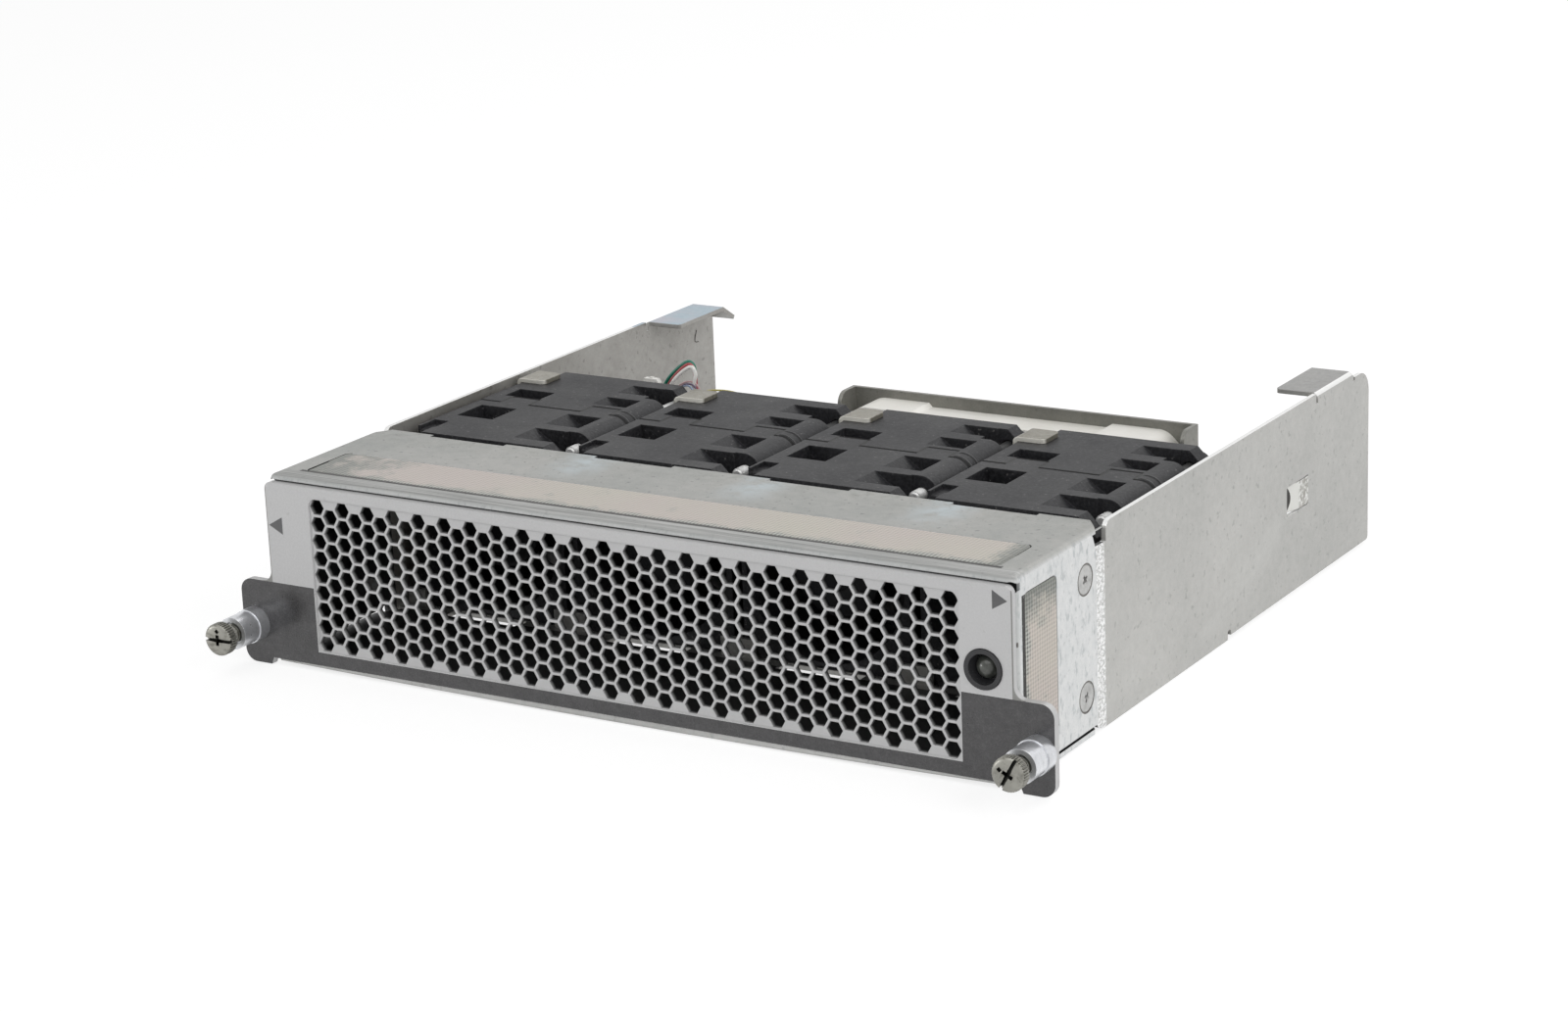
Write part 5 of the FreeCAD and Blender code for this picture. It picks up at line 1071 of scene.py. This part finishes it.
def sleeved():
    """The sleeved leads of the other three fans, low behind them."""
    for index in (1, 2, 3):
        x = (index - 1.5) * FAN_PITCH - 14.8
        last = to_contact(index + 4)
        low = [(x, 100.4), (x, 108.4), ((x + 2 * last[0][0]) / 3, 128.4)]
        points = [(*place, SLEEVE_Z) for place in low] + last
        lead("sleeve_%d" % (index + 1), points, SLEEVE_R, sleeve_black, "black_sleeve", "sleeved_leads")


def thin_leads():
    """Thin leads that show for a short way between the first two fans."""
    for colour, (tint, points) in THIN_LEADS.items():
        lead(colour + "_thin", points, THIN_R, wire(colour + "_wire", tint), "white_insulation")


def plug():
    """Low plug body with the narrow ridge and catch that show over the first fan, in place of the block."""
    right = PLUG_RIGHT
    left = right - PLUG_WIDTH
    body = ((left, 31.7), (right, 31.7), (right, 37.9), (left, 37.9))
    catch = ((left + 2.0, 40.2), (left + 2.8, 40.2), (left + 2.8, 40.55), (left + 2.0, 40.55))
    ridge = ((left, 37.8), (right, 37.8), (right, 39.4), (right - 0.6, 40.25),
             (left + 0.6, 40.25), (left, 39.4))
    bm = skin(*[[[at(x, PLUG_Y + sign * half, z) for x, z in outline] for sign in (-1, 1)]
                for outline, half in ((body, 2.5), (catch, 0.35), (ridge, 0.7))])
    made = piece("plug_body", bm, nylon, 30.0)
    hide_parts("plug_housing")


def front_hem():
    """Folded edge of the bottom sheet below the faceplate; it hangs lowest in the middle."""
    rings = []
    for i in range(2 * HEM_STEPS + 1):
        x = HEM_HALF * (i / HEM_STEPS - 1)
        low = HEM_LOW + HEM_RISE * (x / HEM_HALF) ** 2
        section = ((1.45, HEM_TOP), (0.2, HEM_TOP), (0.1, low + 0.3), (0.35, low), (1.45, low))
        rings.append([at(x, y, z) for y, z in section])
    piece("front_hem", skin(rings), hem_metal, 40.0)


def marks():
    """A bent scratch inside the left arm and a dark disc of painted shade for a small dent in the right
    flange.
    """
    inner = box_mm("chassis_tray")[0].x + 1.02
    lead("arm_scratch", [(inner, y, z) for y, z in ARM_HOOK], SCRATCH_R, scratch_and_shade_ink, "galvanised_sheet")
    # The dent is a small dark disc: painted shade on the flange
    outer = box_mm("front_shell")[1].x
    steps = ((0.1, 0.4), (-0.01, 0.36), (-0.012, 0.1))
    bm = skin(side_rings(1, outer, *FLANGE_PIP, steps, 16, 0.7, 1.3))
    piece("flange_dent", bm, scratch_and_shade_ink)


def soft_light(name, place, target, size, power):
    data = bpy.data.lights.new(name, "AREA")
    data.shape = "RECTANGLE"
    data.size, data.size_y = size
    data.energy = power
    made = linked(name, data)
    made.location = place
    made.rotation_mode = "QUATERNION"
    made.rotation_quaternion = (target - made.location).to_track_quat("-Z", "Y")


def white_for_view(tree, shader, white):
    """Output that shows plain white to camera, gloss and transmission rays, and the shader to others."""
    path = add_node(tree, "ShaderNodeLightPath").outputs
    shown = path["Is Camera Ray"]
    for kind in ("Is Glossy Ray", "Is Transmission Ray"):
        shown = add_node(tree, "ShaderNodeMath", {0: shown, 1: path[kind]}, operation="MAXIMUM").outputs[0]
    return add_node(tree, "ShaderNodeMixShader", {0: shown, 1: shader, 2: white}).outputs[0]


def studio():
    """Pale world and floor that look white, with four soft lamps."""
    world = bpy.data.worlds.new("studio")
    bpy.context.scene.world = world
    world.use_nodes = True
    tree = world.node_tree
    soft = tree.nodes["Background"]
    soft.inputs["Color"].default_value = WHITE
    soft.inputs["Strength"].default_value = 0.45
    white = add_node(tree, "ShaderNodeBackground", {"Color": WHITE, "Strength": 1.0})
    result = white_for_view(tree, soft.outputs[0], white.outputs[0])
    tree.links.new(result, tree.nodes["World Output"].inputs["Surface"])

    mesh = bpy.data.meshes.new("floor")
    corners = [(x * FLOOR_HALF, y * FLOOR_HALF, 0) for x, y in ((-1, -1), (1, -1), (1, 1), (-1, 1))]
    mesh.from_pydata(corners, [], [(0, 1, 2, 3)])
    floor = linked("floor", mesh)
    floor.location.z = -0.0002
    material = bpy.data.materials.new("floor_white")
    material.use_nodes = True
    tree = material.node_tree
    lit = tree.nodes["Principled BSDF"]
    lit.inputs["Roughness"].default_value = 0.9
    cloud = add_node(tree, "ShaderNodeTexNoise", {"Scale": 3.0}).outputs["Fac"]
    tone = add_node(tree, "ShaderNodeMapRange", {"Value": cloud, "To Min": 0.9, "To Max": 0.92})
    tree.links.new(tone.outputs["Result"], lit.inputs["Base Color"])
    shade = add_node(tree, "ShaderNodeBsdfDiffuse", {"Color": (0.34, 0.34, 0.34, 1.0)})
    glow = add_node(tree, "ShaderNodeEmission", {"Strength": 0.76})
    white = add_node(tree, "ShaderNodeAddShader", {0: shade.outputs[0], 1: glow.outputs[0]})
    result = white_for_view(tree, lit.outputs[0], white.outputs[0])
    tree.links.new(result, tree.nodes["Material Output"].inputs["Surface"])
    mesh.materials.append(material)

    for name, place, size, power in LAMPS:
        soft_light(name, place, at(0, 80, 20), size, power)


def camera():
    """Camera at the photograph's place, with its three directions made square to each other."""
    data = bpy.data.cameras.new("camera")
    data.sensor_width = SENSOR_WIDTH
    data.lens = FOCAL_PIXELS / IMAGE_WIDTH * SENSOR_WIDTH
    data.clip_start = 0.01
    back = -CAMERA_FORWARD.normalized()
    up = back.cross(CAMERA_RIGHT).normalized()
    right = up.cross(back)
    made = linked("camera", data)
    made.matrix_world = Matrix.Translation(at(*CAMERA_AT)) @ Matrix((right, up, back)).transposed().to_4x4()
    bpy.context.scene.camera = made


dress_nodes()
for side in SIDES:
    thumbscrew(side)
    screw_spring(side)
for fan in FAN_NAMES:
    for end in ENDS:
        rotor(fan, end)
gasket("top_gasket", 2, 1)
gasket("bottom_gasket", 2, -1)
gasket("left_gasket", 0, -1)
gasket("right_gasket", 0, 1)
flathead_screws()
tie_screws()
post_rings()
lamp_dome()
arrow("arrow_left", ARROW_LEFT)
arrow("arrow_right", ARROW_RIGHT)
loop_leads()
sleeved()
thin_leads()
plug()
front_hem()
marks()
studio()
camera()
bpy.context.scene.view_settings.view_transform = "Standard"
